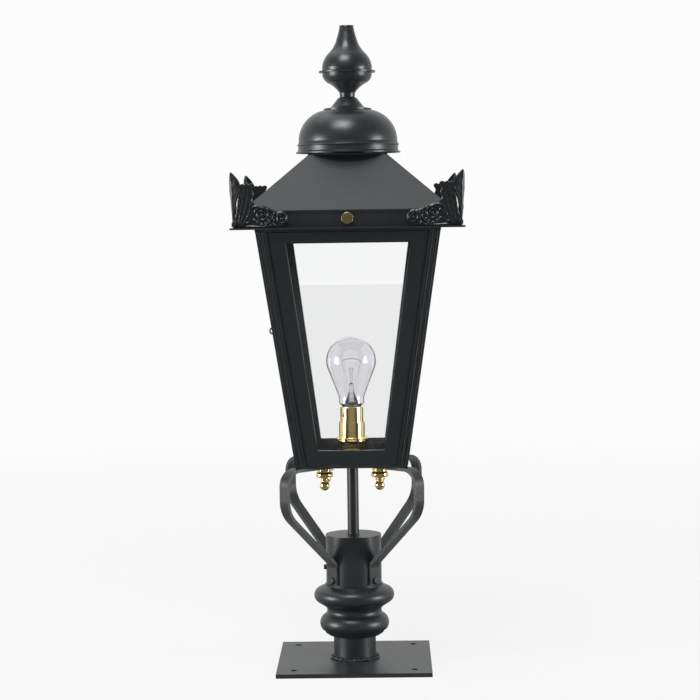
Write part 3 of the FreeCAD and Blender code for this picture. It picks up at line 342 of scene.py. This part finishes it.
WING_LEAN = math.radians(5.0)
WING_THICKNESS = 3.0
LEAF_THICKNESS = 2.0
LEAF_HEIGHT = 63.3
LEAF_FOLD = 0.45
LEAF_ROWS = 45
LEAF_COLUMNS = 21
REACH = 133.9
MM = 0.001
WING_OUTLINE = (
    (0, 0), (2.6, 17), (4.8, 33), (6.9, 47.5), (8.2, 49.9), (10.4, 50.6), (12.8, 49.8), (15.2, 51.2),
    (17.8, 50.0), (20.4, 51.0), (23.0, 50.2), (24.3, 48.2), (23.0, 45.6), (21.8, 42.4), (22.9, 39.6),
    (22.6, 36.4), (21.4, 33.6), (22.0, 30.4), (24.4, 27.6), (28.0, 26.4), (31.6, 26.0), (35.4, 25.0),
    (39.0, 23.8), (42.4, 21.6), (45.6, 20.6), (48.6, 19.4), (52.0, 19.6), (56.4, 18.8), (60.0, 15.8),
    (61.6, 11.0), (60.6, 6.6), (57.8, 3.0), (54.6, 0.8), (50, 0))
ROSETTE = (32.0, 15.6)
SCROLL = (54.0, 10.8)
# Beads: place and radius
BEADS = ((23.6, 9.6, 1.3), (27.2, 7.2, 1.1), (32.0, 4.6, 1.2), (36.4, 6.2, 1.1), (39.8, 9.0, 1.2),
         (41.8, 13.0, 1.1), (34.4, 22.4, 1.1), (28.2, 22.8, 1.0), (24.4, 18.6, 1.1), (46.4, 16.4, 1.0),
         (45.0, 4.4, 1.0))
# Ridges: line of points, width and height, both less towards the line's end
RIDGES = (
    (((1.2, 1.4), (3.6, 17), (5.8, 33), (8.0, 47.2)), 0.9, 0.8),
    (((8.8, 48.9), (12.8, 48.4), (15.2, 49.8), (17.8, 48.6), (20.4, 49.6), (22.6, 48.4)), 0.8, 0.8),
    (((22.2, 46.2), (20.8, 42.4), (21.8, 39.2), (20.4, 34.0), (21.0, 30.2)), 0.8, 0.8),
    (((4.4, 2.0), (7.4, 14), (10.2, 28), (12.4, 40), (12.8, 47.6)), 1.1, 1.0),
    (((6.4, 2.6), (11.2, 14), (14.6, 26), (16.6, 37), (17.6, 47.4)), 1.1, 1.0),
    (((9.0, 3.0), (15.4, 12), (18.8, 22), (19.8, 32)), 1.1, 1.2),
    (((6.8, 15), (5.4, 21), (6.0, 27)), 0.8, 0.8), (((8.6, 24), (7.0, 30), (7.6, 36)), 0.8, 0.8),
    (((10.6, 33), (9.0, 38), (9.8, 43)), 0.8, 0.8), (((12.6, 20), (14.6, 23), (13.8, 29)), 0.7, 0.8),
    (((14.8, 28), (17.0, 31), (16.2, 35)), 0.7, 0.8), (((16.4, 36), (18.8, 39), (18.8, 44)), 0.8, 0.8),
    (((15.8, 14), (19.6, 15), (21.6, 19)), 0.9, 1.2), (((12.0, 6), (16.6, 6.4), (20.4, 10)), 1.0, 1.4),
    (((16.0, 2.2), (26.0, 1.6), (38.0, 1.7), (49.0, 2.6)), 1.2, 1.7),
    (((22.6, 24.6), (25.6, 25.0), (31.0, 24.9), (36.6, 23.4)), 1.0, 1.6),
    (((38.6, 21.8), (43.2, 19.6), (48.4, 18.0), (53.8, 18.0)), 1.1, 1.7),
    (((37.2, 4.0), (41.6, 7.6), (43.4, 11.6), (42.8, 16.4)), 1.1, 1.8),
    (((42.0, 3.6), (45.6, 7.6), (46.6, 11.4), (45.6, 14.6)), 1.0, 1.6),
    (((38.4, 18.8), (41.0, 17.0), (42.0, 14.0)), 1.0, 1.6))
# Half width of the corner leaf at shares of its height
LEAF_OUTLINE = ((0.0, 0.9), (0.12, 0.8), (0.22, 1.1), (0.32, 2.0), (0.45, 3.6), (0.58, 5.9), (0.68, 8.0),
                (0.75, 9.0), (0.81, 8.8), (0.88, 6.6), (0.95, 3.2), (1.0, 0.35))


def smooth_line(points, steps, closed=False):
    """Points along a smooth line through the given ones."""
    points = np.array(points, dtype=float)
    if closed:
        around = np.vstack((points[-1], points, points[0], points[1]))
    else:
        around = np.vstack((2 * points[0] - points[1], points, 2 * points[-1] - points[-2]))
    line = []
    for a, b, c, d in zip(around, around[1:], around[2:], around[3:]):
        for t in np.linspace(0, 1, steps, endpoint=False):
            line.append(0.5 * (2 * b + (c - a) * t + (2 * a - 5 * b + 4 * c - d) * t ** 2
                               + (3 * b - 3 * c + d - a) * t ** 3))
    if not closed:
        line.append(points[-1])
    return np.array(line)


def spiral(centre, outer, inner, turns, start):
    """Points of a spiral that winds inwards."""
    angles = np.linspace(0, 2 * math.pi * turns, int(56 * turns))
    radius = outer + (inner - outer) * angles / angles[-1]
    along = np.column_stack((radius * np.cos(start - angles), radius * np.sin(start - angles)))
    return np.array(centre) + along


def ridge_height(at, line, width, height):
    """Round-topped ridge along a line, tapered towards its end."""
    gaps = np.linalg.norm(at[:, None, :] - line[None, :, :], axis=2)
    along = gaps.argmin(axis=1) / (len(line) - 1)
    share = np.clip(1 - (gaps.min(axis=1) / (width * (1 - 0.45 * along))) ** 2, 0, 1)
    return height * (1 - 0.3 * along) * np.sqrt(share)


def wing_relief(at, edge_gap):
    """Height of the casting's relief over its plate, in mm, at points of the wing."""
    pillow = 0.5 * np.clip(edge_gap / 2.2, 0, 1) ** 0.5
    best = np.zeros(len(at))
    for line, width, height in RIDGES:
        best = np.maximum(best, ridge_height(at, smooth_line(line, 12), width, height))
    for centre, outer, turns, start in ((ROSETTE, 8.3, 1.75, 2.6), (SCROLL, 6.6, 1.7, 2.2)):
        best = np.maximum(best, ridge_height(at, spiral(centre, outer, 2.0, turns, start), 1.25, 2.1))
        gap = np.linalg.norm(at - np.array(centre), axis=1)
        best = np.maximum(best, 2.3 * np.sqrt(np.clip(1 - (gap / 1.7) ** 2, 0, 1)))
    for u, v, radius in BEADS:
        gap = np.linalg.norm(at - np.array((u, v)), axis=1)
        best = np.maximum(best, 1.8 * np.sqrt(np.clip(1 - (gap / radius) ** 2, 0, 1)))
    return pillow + best


def inside(at, outline):
    """Which points lie inside a closed outline."""
    result = np.zeros(len(at), dtype=bool)
    for (x0, y0), (x1, y1) in zip(outline, np.roll(outline, -1, axis=0)):
        crosses = (y0 > at[:, 1]) != (y1 > at[:, 1])
        level = np.where(y1 != y0, (at[:, 1] - y0) / (y1 - y0 if y1 != y0 else 1) * (x1 - x0) + x0, 0)
        result ^= crosses & (at[:, 0] < level)
    return result


def wing_shell(step):
    """Points, faces and edge faces of one wing, in mm, on the front band at the left corner."""
    outline = smooth_line(WING_OUTLINE, 5, closed=True)
    outline[:, 1] = np.maximum(outline[:, 1], 0)
    across, up = np.meshgrid(np.arange(0.4, 62.0, step), np.arange(0.4, 52.0, step))
    field = np.column_stack((across.ravel(), up.ravel()))
    field = field[inside(field, outline)]
    gap = np.linalg.norm(field[:, None, :] - outline[None, :, :], axis=2).min(axis=1)
    field = field[gap > 0.6 * step]
    rim = len(outline)
    flat = [Vector(point) for point in np.vstack((outline, field))]
    points, _, faces, *_ = delaunay_2d_cdt(flat, [(i, (i + 1) % rim) for i in range(rim)], [], 1, 1e-5)
    at = np.array([tuple(point) for point in points])
    edge_gap = np.linalg.norm(at[:, None, :] - outline[None, :, :], axis=2).min(axis=1)
    relief = wing_relief(at, edge_gap)
    front = np.column_stack((at[:, 0], -relief, at[:, 1]))
    back = np.column_stack((at[:, 0], np.full(len(at), WING_THICKNESS), at[:, 1]))
    shell = np.vstack((front, back))
    depth = shell[:, 1] - WING_THICKNESS
    lean_y = WING_THICKNESS + depth * math.cos(WING_LEAN) - shell[:, 2] * math.sin(WING_LEAN)
    lean_z = depth * math.sin(WING_LEAN) + shell[:, 2] * math.cos(WING_LEAN)
    shell = np.column_stack((shell[:, 0], lean_y, np.maximum(lean_z, 0)))
    count = len(at)
    both = [tuple(face) for face in faces] + [tuple(count + i for i in reversed(face)) for face in faces]
    used = {}
    for face in faces:
        for a, b in zip(face, list(face[1:]) + [face[0]]):
            used[(a, b)] = used.get((a, b), 0) + 1
    edge = [(b, a, a + count, b + count) for a, b in used if (b, a) not in used]
    return shell, both, edge


def leaf_shell(corner):
    """Points, faces and edge faces of the corner's folded leaf, in mm, before its turn onto the diagonal."""
    shares = np.linspace(0, 1, LEAF_ROWS)
    widths = np.interp(shares, *zip(*LEAF_OUTLINE))
    across = np.linspace(-1, 1, LEAF_COLUMNS)
    rows = []
    for side in (0, 1):
        for share, width in zip(shares, widths):
            lean = 4.0 * share ** 1.3
            for t in across:
                vein = 0.35 * max(0.0, math.sin(38 * share - 5.5 * abs(t))) * (1 - abs(t)) * min(1, width / 5)
                rib = 0.5 * max(0.0, 1 - abs(t) * width / 0.9)
                depth = -(corner + 0.8 + lean) + LEAF_FOLD * abs(t) * width
                depth += LEAF_THICKNESS if side else -vein - rib
                rows.append((t * width, depth, share * LEAF_HEIGHT))
    wide = len(across)
    faces, edge = [], []
    layer = len(shares) * wide
    for i in range(len(shares) - 1):
        for j in range(wide - 1):
            a = i * wide + j
            quad = (a, a + 1, a + wide + 1, a + wide)
            faces += [quad, tuple(layer + k for k in reversed(quad))]
    loop = list(range(wide)) + [i * wide + wide - 1 for i in range(1, len(shares))]
    loop += list(range(layer - 2, layer - wide - 1, -1)) + [i * wide for i in range(len(shares) - 2, 0, -1)]
    for a, b in zip(loop, loop[1:] + loop[:1]):
        edge.append((b, a, a + layer, b + layer))
    return np.array(rows), faces, edge


def add_shell(bm, points, faces, edge, place):
    """Add a closed shell to a mesh, with its points moved by place and sharp arrises along its edge."""
    verts = [bm.verts.new(place(point)) for point in points]
    for face in faces:
        bm.faces.new([verts[i] for i in face])
    for face in edge:
        made = bm.faces.new([verts[i] for i in face])
        made.edges[0].smooth = False
        made.edges[2].smooth = False


class LANTERN_OT_corners(bpy.types.Operator):
    """Cast the four leaf corners of the gallery"""
    bl_idname = "lantern.corners"
    bl_label = "Cast corners"

    def execute(self, context):
        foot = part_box("corner_ornaments")[0][2] / MM
        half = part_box("gallery_band")[1][0] / MM + WING_THICKNESS
        wing = wing_shell(context.scene.lantern_detail.ornament_step / MM)
        leaf = leaf_shell(half * math.sqrt(2))
        bm = bmesh.new()
        for quarter in range(4):
            turn = Matrix.Rotation(quarter * math.pi / 2, 3, "Z")

            def settle(x, y, z):
                """Put a point on this corner, and keep it within the lip's reach."""
                point = turn @ Vector((x, y, z + foot))
                for axis in (0, 1):
                    point[axis] = max(-REACH, min(REACH, point[axis]))
                return point * MM

            diagonal = math.cos(math.pi / 4)
            add_shell(bm, *wing, lambda p: settle(p[0] - half, p[1] - half, p[2]))
            add_shell(bm, *wing, lambda p: settle(p[1] - half, p[0] - half, p[2]))
            add_shell(bm, *leaf, lambda p: settle(diagonal * (p[0] + p[1]), diagonal * (p[1] - p[0]), p[2]))
        bmesh.ops.recalc_face_normals(bm, faces=bm.faces)
        finished("corner_castings", mesh_from(bm, "corner_castings"), "roof",
                 coat_material("black_coat_casting", roughness=-0.06, peel=700.0, bump=0.1, dust=0.0,
                               tone=0.7),
                 ["corner_ornaments"])
        return {"FINISHED"}


# Weld ripples and knurls: small rounded bodies that stand round a circle, by Geometry Nodes

RING_TREE = "bodies_round_a_circle"
RIPPLE_SIZE = (0.0029, 0.0019, 0.0021)
RIPPLE_INSET = 0.55
RIPPLE_VARIATION = 0.18
KNURL_SIZE = 0.0009
KNURL_SINK = 0.0004
KNURL_SHARE = 0.42

def ring_tree():
    """Tree that stands small rounded bodies round a circle about the Z axis."""
    tree = bpy.data.node_groups.new(RING_TREE, "GeometryNodeTree")
    for label, kind, value in (
            ("Count", "NodeSocketInt", 40), ("Radius", "NodeSocketFloat", 0.02),
            ("Level", "NodeSocketFloat", 0.0),
            ("Size", "NodeSocketVector", (0.001, 0.001, 0.001)), ("Variation", "NodeSocketFloat", 0.0),
            ("Seed", "NodeSocketInt", 7), ("Material", "NodeSocketMaterial", None)):
        socket = tree.interface.new_socket(label, in_out="INPUT", socket_type=kind)
        if value is not None:
            socket.default_value = value
    tree.interface.new_socket("Geometry", in_out="OUTPUT", socket_type="NodeSocketGeometry")
    inside_tree = tree.nodes.new("NodeGroupInput")
    out = tree.nodes.new("NodeGroupOutput")
    circle = node(tree, "GeometryNodeMeshCircle")
    body = feed(node(tree, "GeometryNodeMeshIcoSphere"), Radius=1.0, Subdivisions=2)
    place = node(tree, "GeometryNodeInputPosition")
    align = node(tree, "FunctionNodeAlignRotationToVector", axis="X")
    less = node(tree, "ShaderNodeMath", operation="SUBTRACT")
    less.inputs[0].default_value = 1.0
    more = node(tree, "ShaderNodeMath", operation="ADD")
    more.inputs[0].default_value = 1.0
    chance = node(tree, "FunctionNodeRandomValue", data_type="FLOAT")
    size = node(tree, "ShaderNodeVectorMath", operation="SCALE")
    stand = node(tree, "GeometryNodeInstanceOnPoints")
    real = node(tree, "GeometryNodeRealizeInstances")
    level = node(tree, "ShaderNodeCombineXYZ")
    lift = node(tree, "GeometryNodeTransform")
    smooth = node(tree, "GeometryNodeSetShadeSmooth")
    paint = node(tree, "GeometryNodeSetMaterial")
    link = tree.links.new
    link(inside_tree.outputs["Count"], circle.inputs["Vertices"])
    link(inside_tree.outputs["Radius"], circle.inputs["Radius"])
    link(inside_tree.outputs["Variation"], less.inputs[1])
    link(inside_tree.outputs["Variation"], more.inputs[1])
    link(less.outputs[0], chance.inputs[2])
    link(more.outputs[0], chance.inputs[3])
    link(inside_tree.outputs["Seed"], chance.inputs["Seed"])
    link(inside_tree.outputs["Size"], size.inputs[0])
    link(chance.outputs[1], size.inputs["Scale"])
    link(place.outputs[0], align.inputs["Vector"])
    link(circle.outputs["Mesh"], stand.inputs["Points"])
    link(body.outputs["Mesh"], stand.inputs["Instance"])
    link(align.outputs[0], stand.inputs["Rotation"])
    link(size.outputs[0], stand.inputs["Scale"])
    link(inside_tree.outputs["Level"], level.inputs["Z"])
    link(stand.outputs[0], real.inputs[0])
    link(real.outputs[0], lift.inputs["Geometry"])
    link(level.outputs[0], lift.inputs["Translation"])
    link(lift.outputs[0], smooth.inputs[0])
    link(smooth.outputs[0], paint.inputs["Geometry"])
    link(inside_tree.outputs["Material"], paint.inputs["Material"])
    link(paint.outputs[0], out.inputs[0])
    return tree


def ring_piece(name, body, slot, material, **values):
    """Run the ring tree with its named inputs, and keep the result as a plain mesh."""
    tree = bpy.data.node_groups.get(RING_TREE) or ring_tree()
    maker = bpy.data.objects.new(name + "_maker", bpy.data.meshes.new(name + "_maker"))
    bpy.context.scene.collection.objects.link(maker)
    modifier = maker.modifiers.new("ring", "NODES")
    modifier.node_group = tree
    values["Material"] = material
    for socket in tree.interface.items_tree:
        if socket.in_out == "INPUT" and socket.name in values:
            modifier[socket.identifier] = values[socket.name]
    view = bpy.context.evaluated_depsgraph_get()
    mesh = bpy.data.meshes.new_from_object(maker.evaluated_get(view))
    if not mesh.polygons:
        raise RuntimeError("nothing was made for " + name)
    bpy.data.objects.remove(maker)
    return finished(name, mesh, body, material)


class LANTERN_OT_ripples(bpy.types.Operator):
    """Lay the ripples of the weld round the foot of the pedestal"""
    bl_idname = "lantern.ripples"
    bl_label = "Weld ripples"

    def execute(self, context):
        low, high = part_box("base_weld_bead")
        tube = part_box("pedestal_tube")[1][0]
        ring_piece("weld_ripples", "pedestal", "plate_black", coat_material("black_coat_weld", peel=600.0),
                   Count=context.scene.lantern_detail.ripple_count,
                   Radius=RIPPLE_INSET * tube + (1 - RIPPLE_INSET) * high[0],
                   Level=RIPPLE_INSET * low[2] + (1 - RIPPLE_INSET) * high[2], Size=RIPPLE_SIZE,
                   Variation=RIPPLE_VARIATION, Seed=11)
        return {"FINISHED"}


class LANTERN_OT_knurls(bpy.types.Operator):
    """Knurl the rim of the lampholder's ring"""
    bl_idname = "lantern.knurls"
    bl_label = "Ring knurls"

    def execute(self, context):
        low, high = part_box("lampholder_ring")
        finish = context.scene.lantern_finish
        ring_piece("ring_knurls", "pedestal", "polished_brass",
                   metal_material("knurled_brass", finish.brass, (0.60, 0.40, 0.12), 0.12),
                   Count=context.scene.lantern_detail.knurl_count, Radius=high[0] - KNURL_SINK,
                   Level=(low[2] + high[2]) / 2,
                   Size=(KNURL_SIZE, KNURL_SIZE, KNURL_SHARE * (high[2] - low[2])), Seed=3)
        return {"FINISHED"}


class LANTERN_OT_coat(bpy.types.Operator):
    """Give every black part its powder coat"""
    bl_idname = "lantern.coat"
    bl_label = "Black coat"

    def execute(self, context):
        dress(COAT_NODES["smooth"], coat_material("black_coat_smooth"))
        dress(COAT_NODES["roof"], coat_material("black_coat_roof", roughness=0.06, dust=0.10))
        dress(COAT_NODES["spun"], coat_material("black_coat_spun", roughness=-0.02))
        dress(COAT_NODES["cast"], coat_material("black_coat_cast", roughness=0.03, peel=520.0, bump=0.2))
        dress(COAT_NODES["plate"], coat_material("black_coat_plate", roughness=0.05, dust=0.12))
        return {"FINISHED"}


class LANTERN_OT_metal(bpy.types.Operator):
    """Give the brass, steel and lamp cap their metal"""
    bl_idname = "lantern.metal"
    bl_label = "Brass and steel"

    def execute(self, context):
        finish = context.scene.lantern_finish
        dress(BRASS_NODES, metal_material("polished_brass", finish.brass, (0.55, 0.33, 0.07), 0.10))
        dress(DULL_BRASS_NODES, metal_material("dull_brass", finish.dull_brass, (0.12, 0.10, 0.05), 0.34))
        dress(STEEL_NODES, metal_material("zinc_plate", (0.42, 0.43, 0.44), (0.25, 0.25, 0.26), 0.30))
        dress(("lamp_cap",), metal_material("lamp_cap_metal", (0.55, 0.55, 0.57), (0.35, 0.35, 0.36), 0.32))
        dress(("lamp_filament",), metal_material("lead_wire", (0.62, 0.61, 0.62), (0.45, 0.45, 0.45), 0.30))
        return {"FINISHED"}


class LANTERN_OT_glass(bpy.types.Operator):
    """Give the panes, the lamp and the insulators their glass and ceramic"""
    bl_idname = "lantern.glass"
    bl_label = "Glass and ceramic"

    def execute(self, context):
        finish = context.scene.lantern_finish
        dress(("glass_panes", "door_pane"), glass_material("pane_glass_clear", (0.990, 0.994, 0.993), 1.28))
        dress(("lamp_envelope",), glass_material("lamp_glass_clear", finish.lamp_tint, 1.47))
        dress(("lamp_stem",), glass_material("lamp_stem_glass", (0.90, 0.90, 0.92), 1.50, 0.05))
        dress(("lampholder_insulator",), surface_material(
            "white_ceramic", "coat", (0.05, 0.0001), {"Specular IOR Level": 0.6},
            Colour=(0.72, 0.70, 0.66, 1), Dust=(0.5, 0.48, 0.44, 1), Dust_amount=0.2, Roughness=0.2,
            Roughness_change=0.05, Peel_scale=400.0))
        dress(("lamp_contact_plate",), surface_material(
            "dark_contact_glass", "coat", (0.05, 0.0001), {"Specular IOR Level": 0.6},
            Colour=(0.03, 0.02, 0.03, 1), Dust=(0.2, 0.2, 0.2, 1), Dust_amount=0.1, Roughness=0.15,
            Roughness_change=0.05, Peel_scale=600.0))
        return {"FINISHED"}


# Floor, surroundings and lights
# Lights: name, place, target, size and watts
LIGHTS = (
    ("soft_front_top", (-0.33, -0.95, 2.25), (0, 0, 0.6), (0.85, 0.75), 30),
    ("soft_ceiling", (-0.7, 0.5, 3.1), (0, 0, 0.6), (2.0, 2.4), 17),
    ("soft_left", (-2.2, -0.75, 0.42), (0, 0, 0.5), (0.8, 1.1), 56),
    ("soft_right", (2.2, -0.72, 0.42), (0, 0, 0.5), (0.7, 1.1), 46))
WORLD_STRENGTH = 0.30
FLOOR_SIZE = 12.0


def studio_material(name, colour):
    """Paper white as the camera sees it. Reflections and rays through glass see it dim in front and
    pale behind. Near the object a share of real light is left in, so that its shadow shows."""
    material = bpy.data.materials.new(name)
    material.use_nodes = True
    tree = material.node_tree
    principled = tree.nodes["Principled BSDF"]
    principled.inputs["Base Color"].default_value = with_alpha(colour)
    principled.inputs["Roughness"].default_value = 0.9
    principled.inputs["Specular IOR Level"].default_value = 0.1
    place = node(tree, "ShaderNodeTexCoord")
    split = node(tree, "ShaderNodeSeparateXYZ")
    path = node(tree, "ShaderNodeLightPath")
    behind = feed(node(tree, "ShaderNodeMapRange"), From_Min=-0.4, From_Max=0.8, To_Min=0.16, To_Max=0.85)
    tone = node(tree, "ShaderNodeMix", data_type="FLOAT")
    tone.inputs[2].default_value = PAPER
    light = node(tree, "ShaderNodeEmission")
    away = node(tree, "ShaderNodeVectorMath", operation="LENGTH")
    share = feed(node(tree, "ShaderNodeMapRange"), From_Min=0.5, From_Max=2.5, To_Min=0.86, To_Max=1.0)
    through = node(tree, "ShaderNodeMath", operation="MAXIMUM")
    near = node(tree, "ShaderNodeMath", operation="MULTIPLY")
    total = node(tree, "ShaderNodeMath", operation="MAXIMUM")
    mix = node(tree, "ShaderNodeMixShader")
    link = tree.links.new
    link(place.outputs["Object"], split.inputs[0])
    link(place.outputs["Object"], away.inputs[0])
    link(split.outputs["Y"], behind.inputs["Value"])
    link(path.outputs["Is Glossy Ray"], tone.inputs[0])
    link(behind.outputs[0], tone.inputs[3])
    link(tone.outputs[0], light.inputs["Color"])
    link(away.outputs["Value"], share.inputs["Value"])
    link(path.outputs["Is Camera Ray"], through.inputs[0])
    link(path.outputs["Is Transmission Ray"], through.inputs[1])
    link(through.outputs[0], near.inputs[0])
    link(share.outputs[0], near.inputs[1])
    link(near.outputs[0], total.inputs[0])
    link(path.outputs["Is Glossy Ray"], total.inputs[1])
    link(total.outputs[0], mix.inputs[0])
    link(principled.outputs[0], mix.inputs[1])
    link(light.outputs[0], mix.inputs[2])
    link(mix.outputs[0], tree.nodes["Material Output"].inputs["Surface"])
    return material


def studio_world(strength):
    """White as the camera sees it, and softer as a light. Reflections and rays through glass see it
    dim in front and pale behind."""
    world = bpy.data.worlds.new("studio")
    bpy.context.scene.world = world
    world.use_nodes = True
    tree = world.node_tree
    background = tree.nodes["Background"]
    background.inputs["Color"].default_value = (PAPER, PAPER, PAPER, 1)
    path = node(tree, "ShaderNodeLightPath")
    place = node(tree, "ShaderNodeTexCoord")
    split = node(tree, "ShaderNodeSeparateXYZ")
    behind = feed(node(tree, "ShaderNodeMapRange"), From_Min=-0.2, From_Max=0.7, To_Min=0.20, To_Max=0.95)
    mirrored = node(tree, "ShaderNodeMix", data_type="FLOAT")
    mirrored.inputs[2].default_value = strength
    seen = node(tree, "ShaderNodeMath", operation="MAXIMUM")
    level = node(tree, "ShaderNodeMix", data_type="FLOAT")
    level.inputs[3].default_value = 1.0
    link = tree.links.new
    link(place.outputs["Generated"], split.inputs[0])
    link(split.outputs["Y"], behind.inputs["Value"])
    link(path.outputs["Is Glossy Ray"], mirrored.inputs[0])
    link(behind.outputs[0], mirrored.inputs[3])
    link(path.outputs["Is Camera Ray"], seen.inputs[0])
    link(path.outputs["Is Transmission Ray"], seen.inputs[1])
    link(seen.outputs[0], level.inputs[0])
    link(mirrored.outputs[0], level.inputs[2])
    link(level.outputs[0], background.inputs["Strength"])


def area_light(name, place, target, size, watts):
    lamp = bpy.data.lights.new(name, "AREA")
    lamp.shape = "RECTANGLE"
    lamp.size, lamp.size_y = size
    lamp.energy = watts
    made = bpy.data.objects.new(name, lamp)
    made.location = place
    made.rotation_euler = (Vector(target) - Vector(place)).to_track_quat("-Z", "Y").to_euler()
    bpy.context.scene.collection.objects.link(made)


class LANTERN_OT_stage(bpy.types.Operator):
    """Set up the floor, the light and the camera"""
    bl_idname = "lantern.stage"
    bl_label = "Stage"

    def execute(self, context):
        stage = context.scene.lantern_stage
        context.scene.view_settings.view_transform = "Standard"
        bm = bmesh.new()
        bmesh.ops.create_grid(bm, x_segments=8, y_segments=8, size=FLOOR_SIZE)
        floor = bpy.data.objects.new("studio_floor", mesh_from(bm, "studio_floor", False))
        context.scene.collection.objects.link(floor)
        floor.data.materials.append(studio_material("pale_floor", (0.62, 0.62, 0.62)))
        studio_world(WORLD_STRENGTH)
        for light in LIGHTS:
            area_light(*light)
        self.place_camera(context, stage)
        return {"FINISHED"}

    @staticmethod
    def place_camera(context, stage):
        """Aim so that the eye level and the axis fall on their row and column of the picture."""
        camera = bpy.data.cameras.new("camera")
        camera.sensor_width = 36.0
        camera.lens = stage.focal_px * camera.sensor_width / IMAGE_SIDE
        camera.clip_start, camera.clip_end = 0.05, 60.0
        made = bpy.data.objects.new("camera", camera)
        eye = Vector((stage.eye_side, -stage.eye_distance, stage.eye_height))
        pitch = math.atan((IMAGE_SIDE / 2 - stage.horizon_px) / stage.focal_px)
        drop = stage.eye_distance * math.tan(pitch)
        aside = (stage.axis_px - IMAGE_SIDE / 2) / stage.focal_px * stage.eye_distance
        aim = Vector((-aside, 0.0, stage.eye_height - drop))
        turn = (aim - eye).to_track_quat("-Z", "Y").to_matrix().to_4x4()
        made.matrix_world = Matrix.Translation(eye) @ turn @ Matrix.Rotation(-stage.roll, 4, "Z")
        context.scene.collection.objects.link(made)
        context.scene.camera = made


class LANTERN_PT_panel(bpy.types.Panel):
    """Sizes, colours and steps of the lantern"""
    bl_idname = "LANTERN_PT_panel"
    bl_label = "Post top lantern"
    bl_space_type = "VIEW_3D"
    bl_region_type = "UI"
    bl_category = "Lantern"

    def draw(self, context):
        for group_name in GROUP_CLASSES:
            group = getattr(context.scene, group_name)
            for name in group.bl_rna.properties.keys():
                if name not in ("rna_type", "name"):
                    self.layout.prop(group, name)
        for step in STEPS:
            self.layout.operator("lantern." + step)


STEPS = ("stage", "coat", "metal", "glass", "corners", "ripples", "knurls")
GROUP_CLASSES = {"lantern_finish": LanternFinish, "lantern_detail": LanternDetail,
                 "lantern_stage": LanternStage}
CLASSES = (LanternFinish, LanternDetail, LanternStage, LANTERN_OT_coat, LANTERN_OT_metal, LANTERN_OT_glass,
           LANTERN_OT_corners, LANTERN_OT_ripples, LANTERN_OT_knurls, LANTERN_OT_stage, LANTERN_PT_panel)


def register():
    for cls in CLASSES:
        bpy.utils.register_class(cls)
    for name, cls in GROUP_CLASSES.items():
        setattr(bpy.types.Scene, name, PointerProperty(type=cls))


def unregister():
    for name in GROUP_CLASSES:
        delattr(bpy.types.Scene, name)
    for cls in reversed(CLASSES):
        bpy.utils.unregister_class(cls)


def main():
    register()
    for step in STEPS:
        getattr(bpy.ops.lantern, step)()


if __name__ == "__main__":
    main()
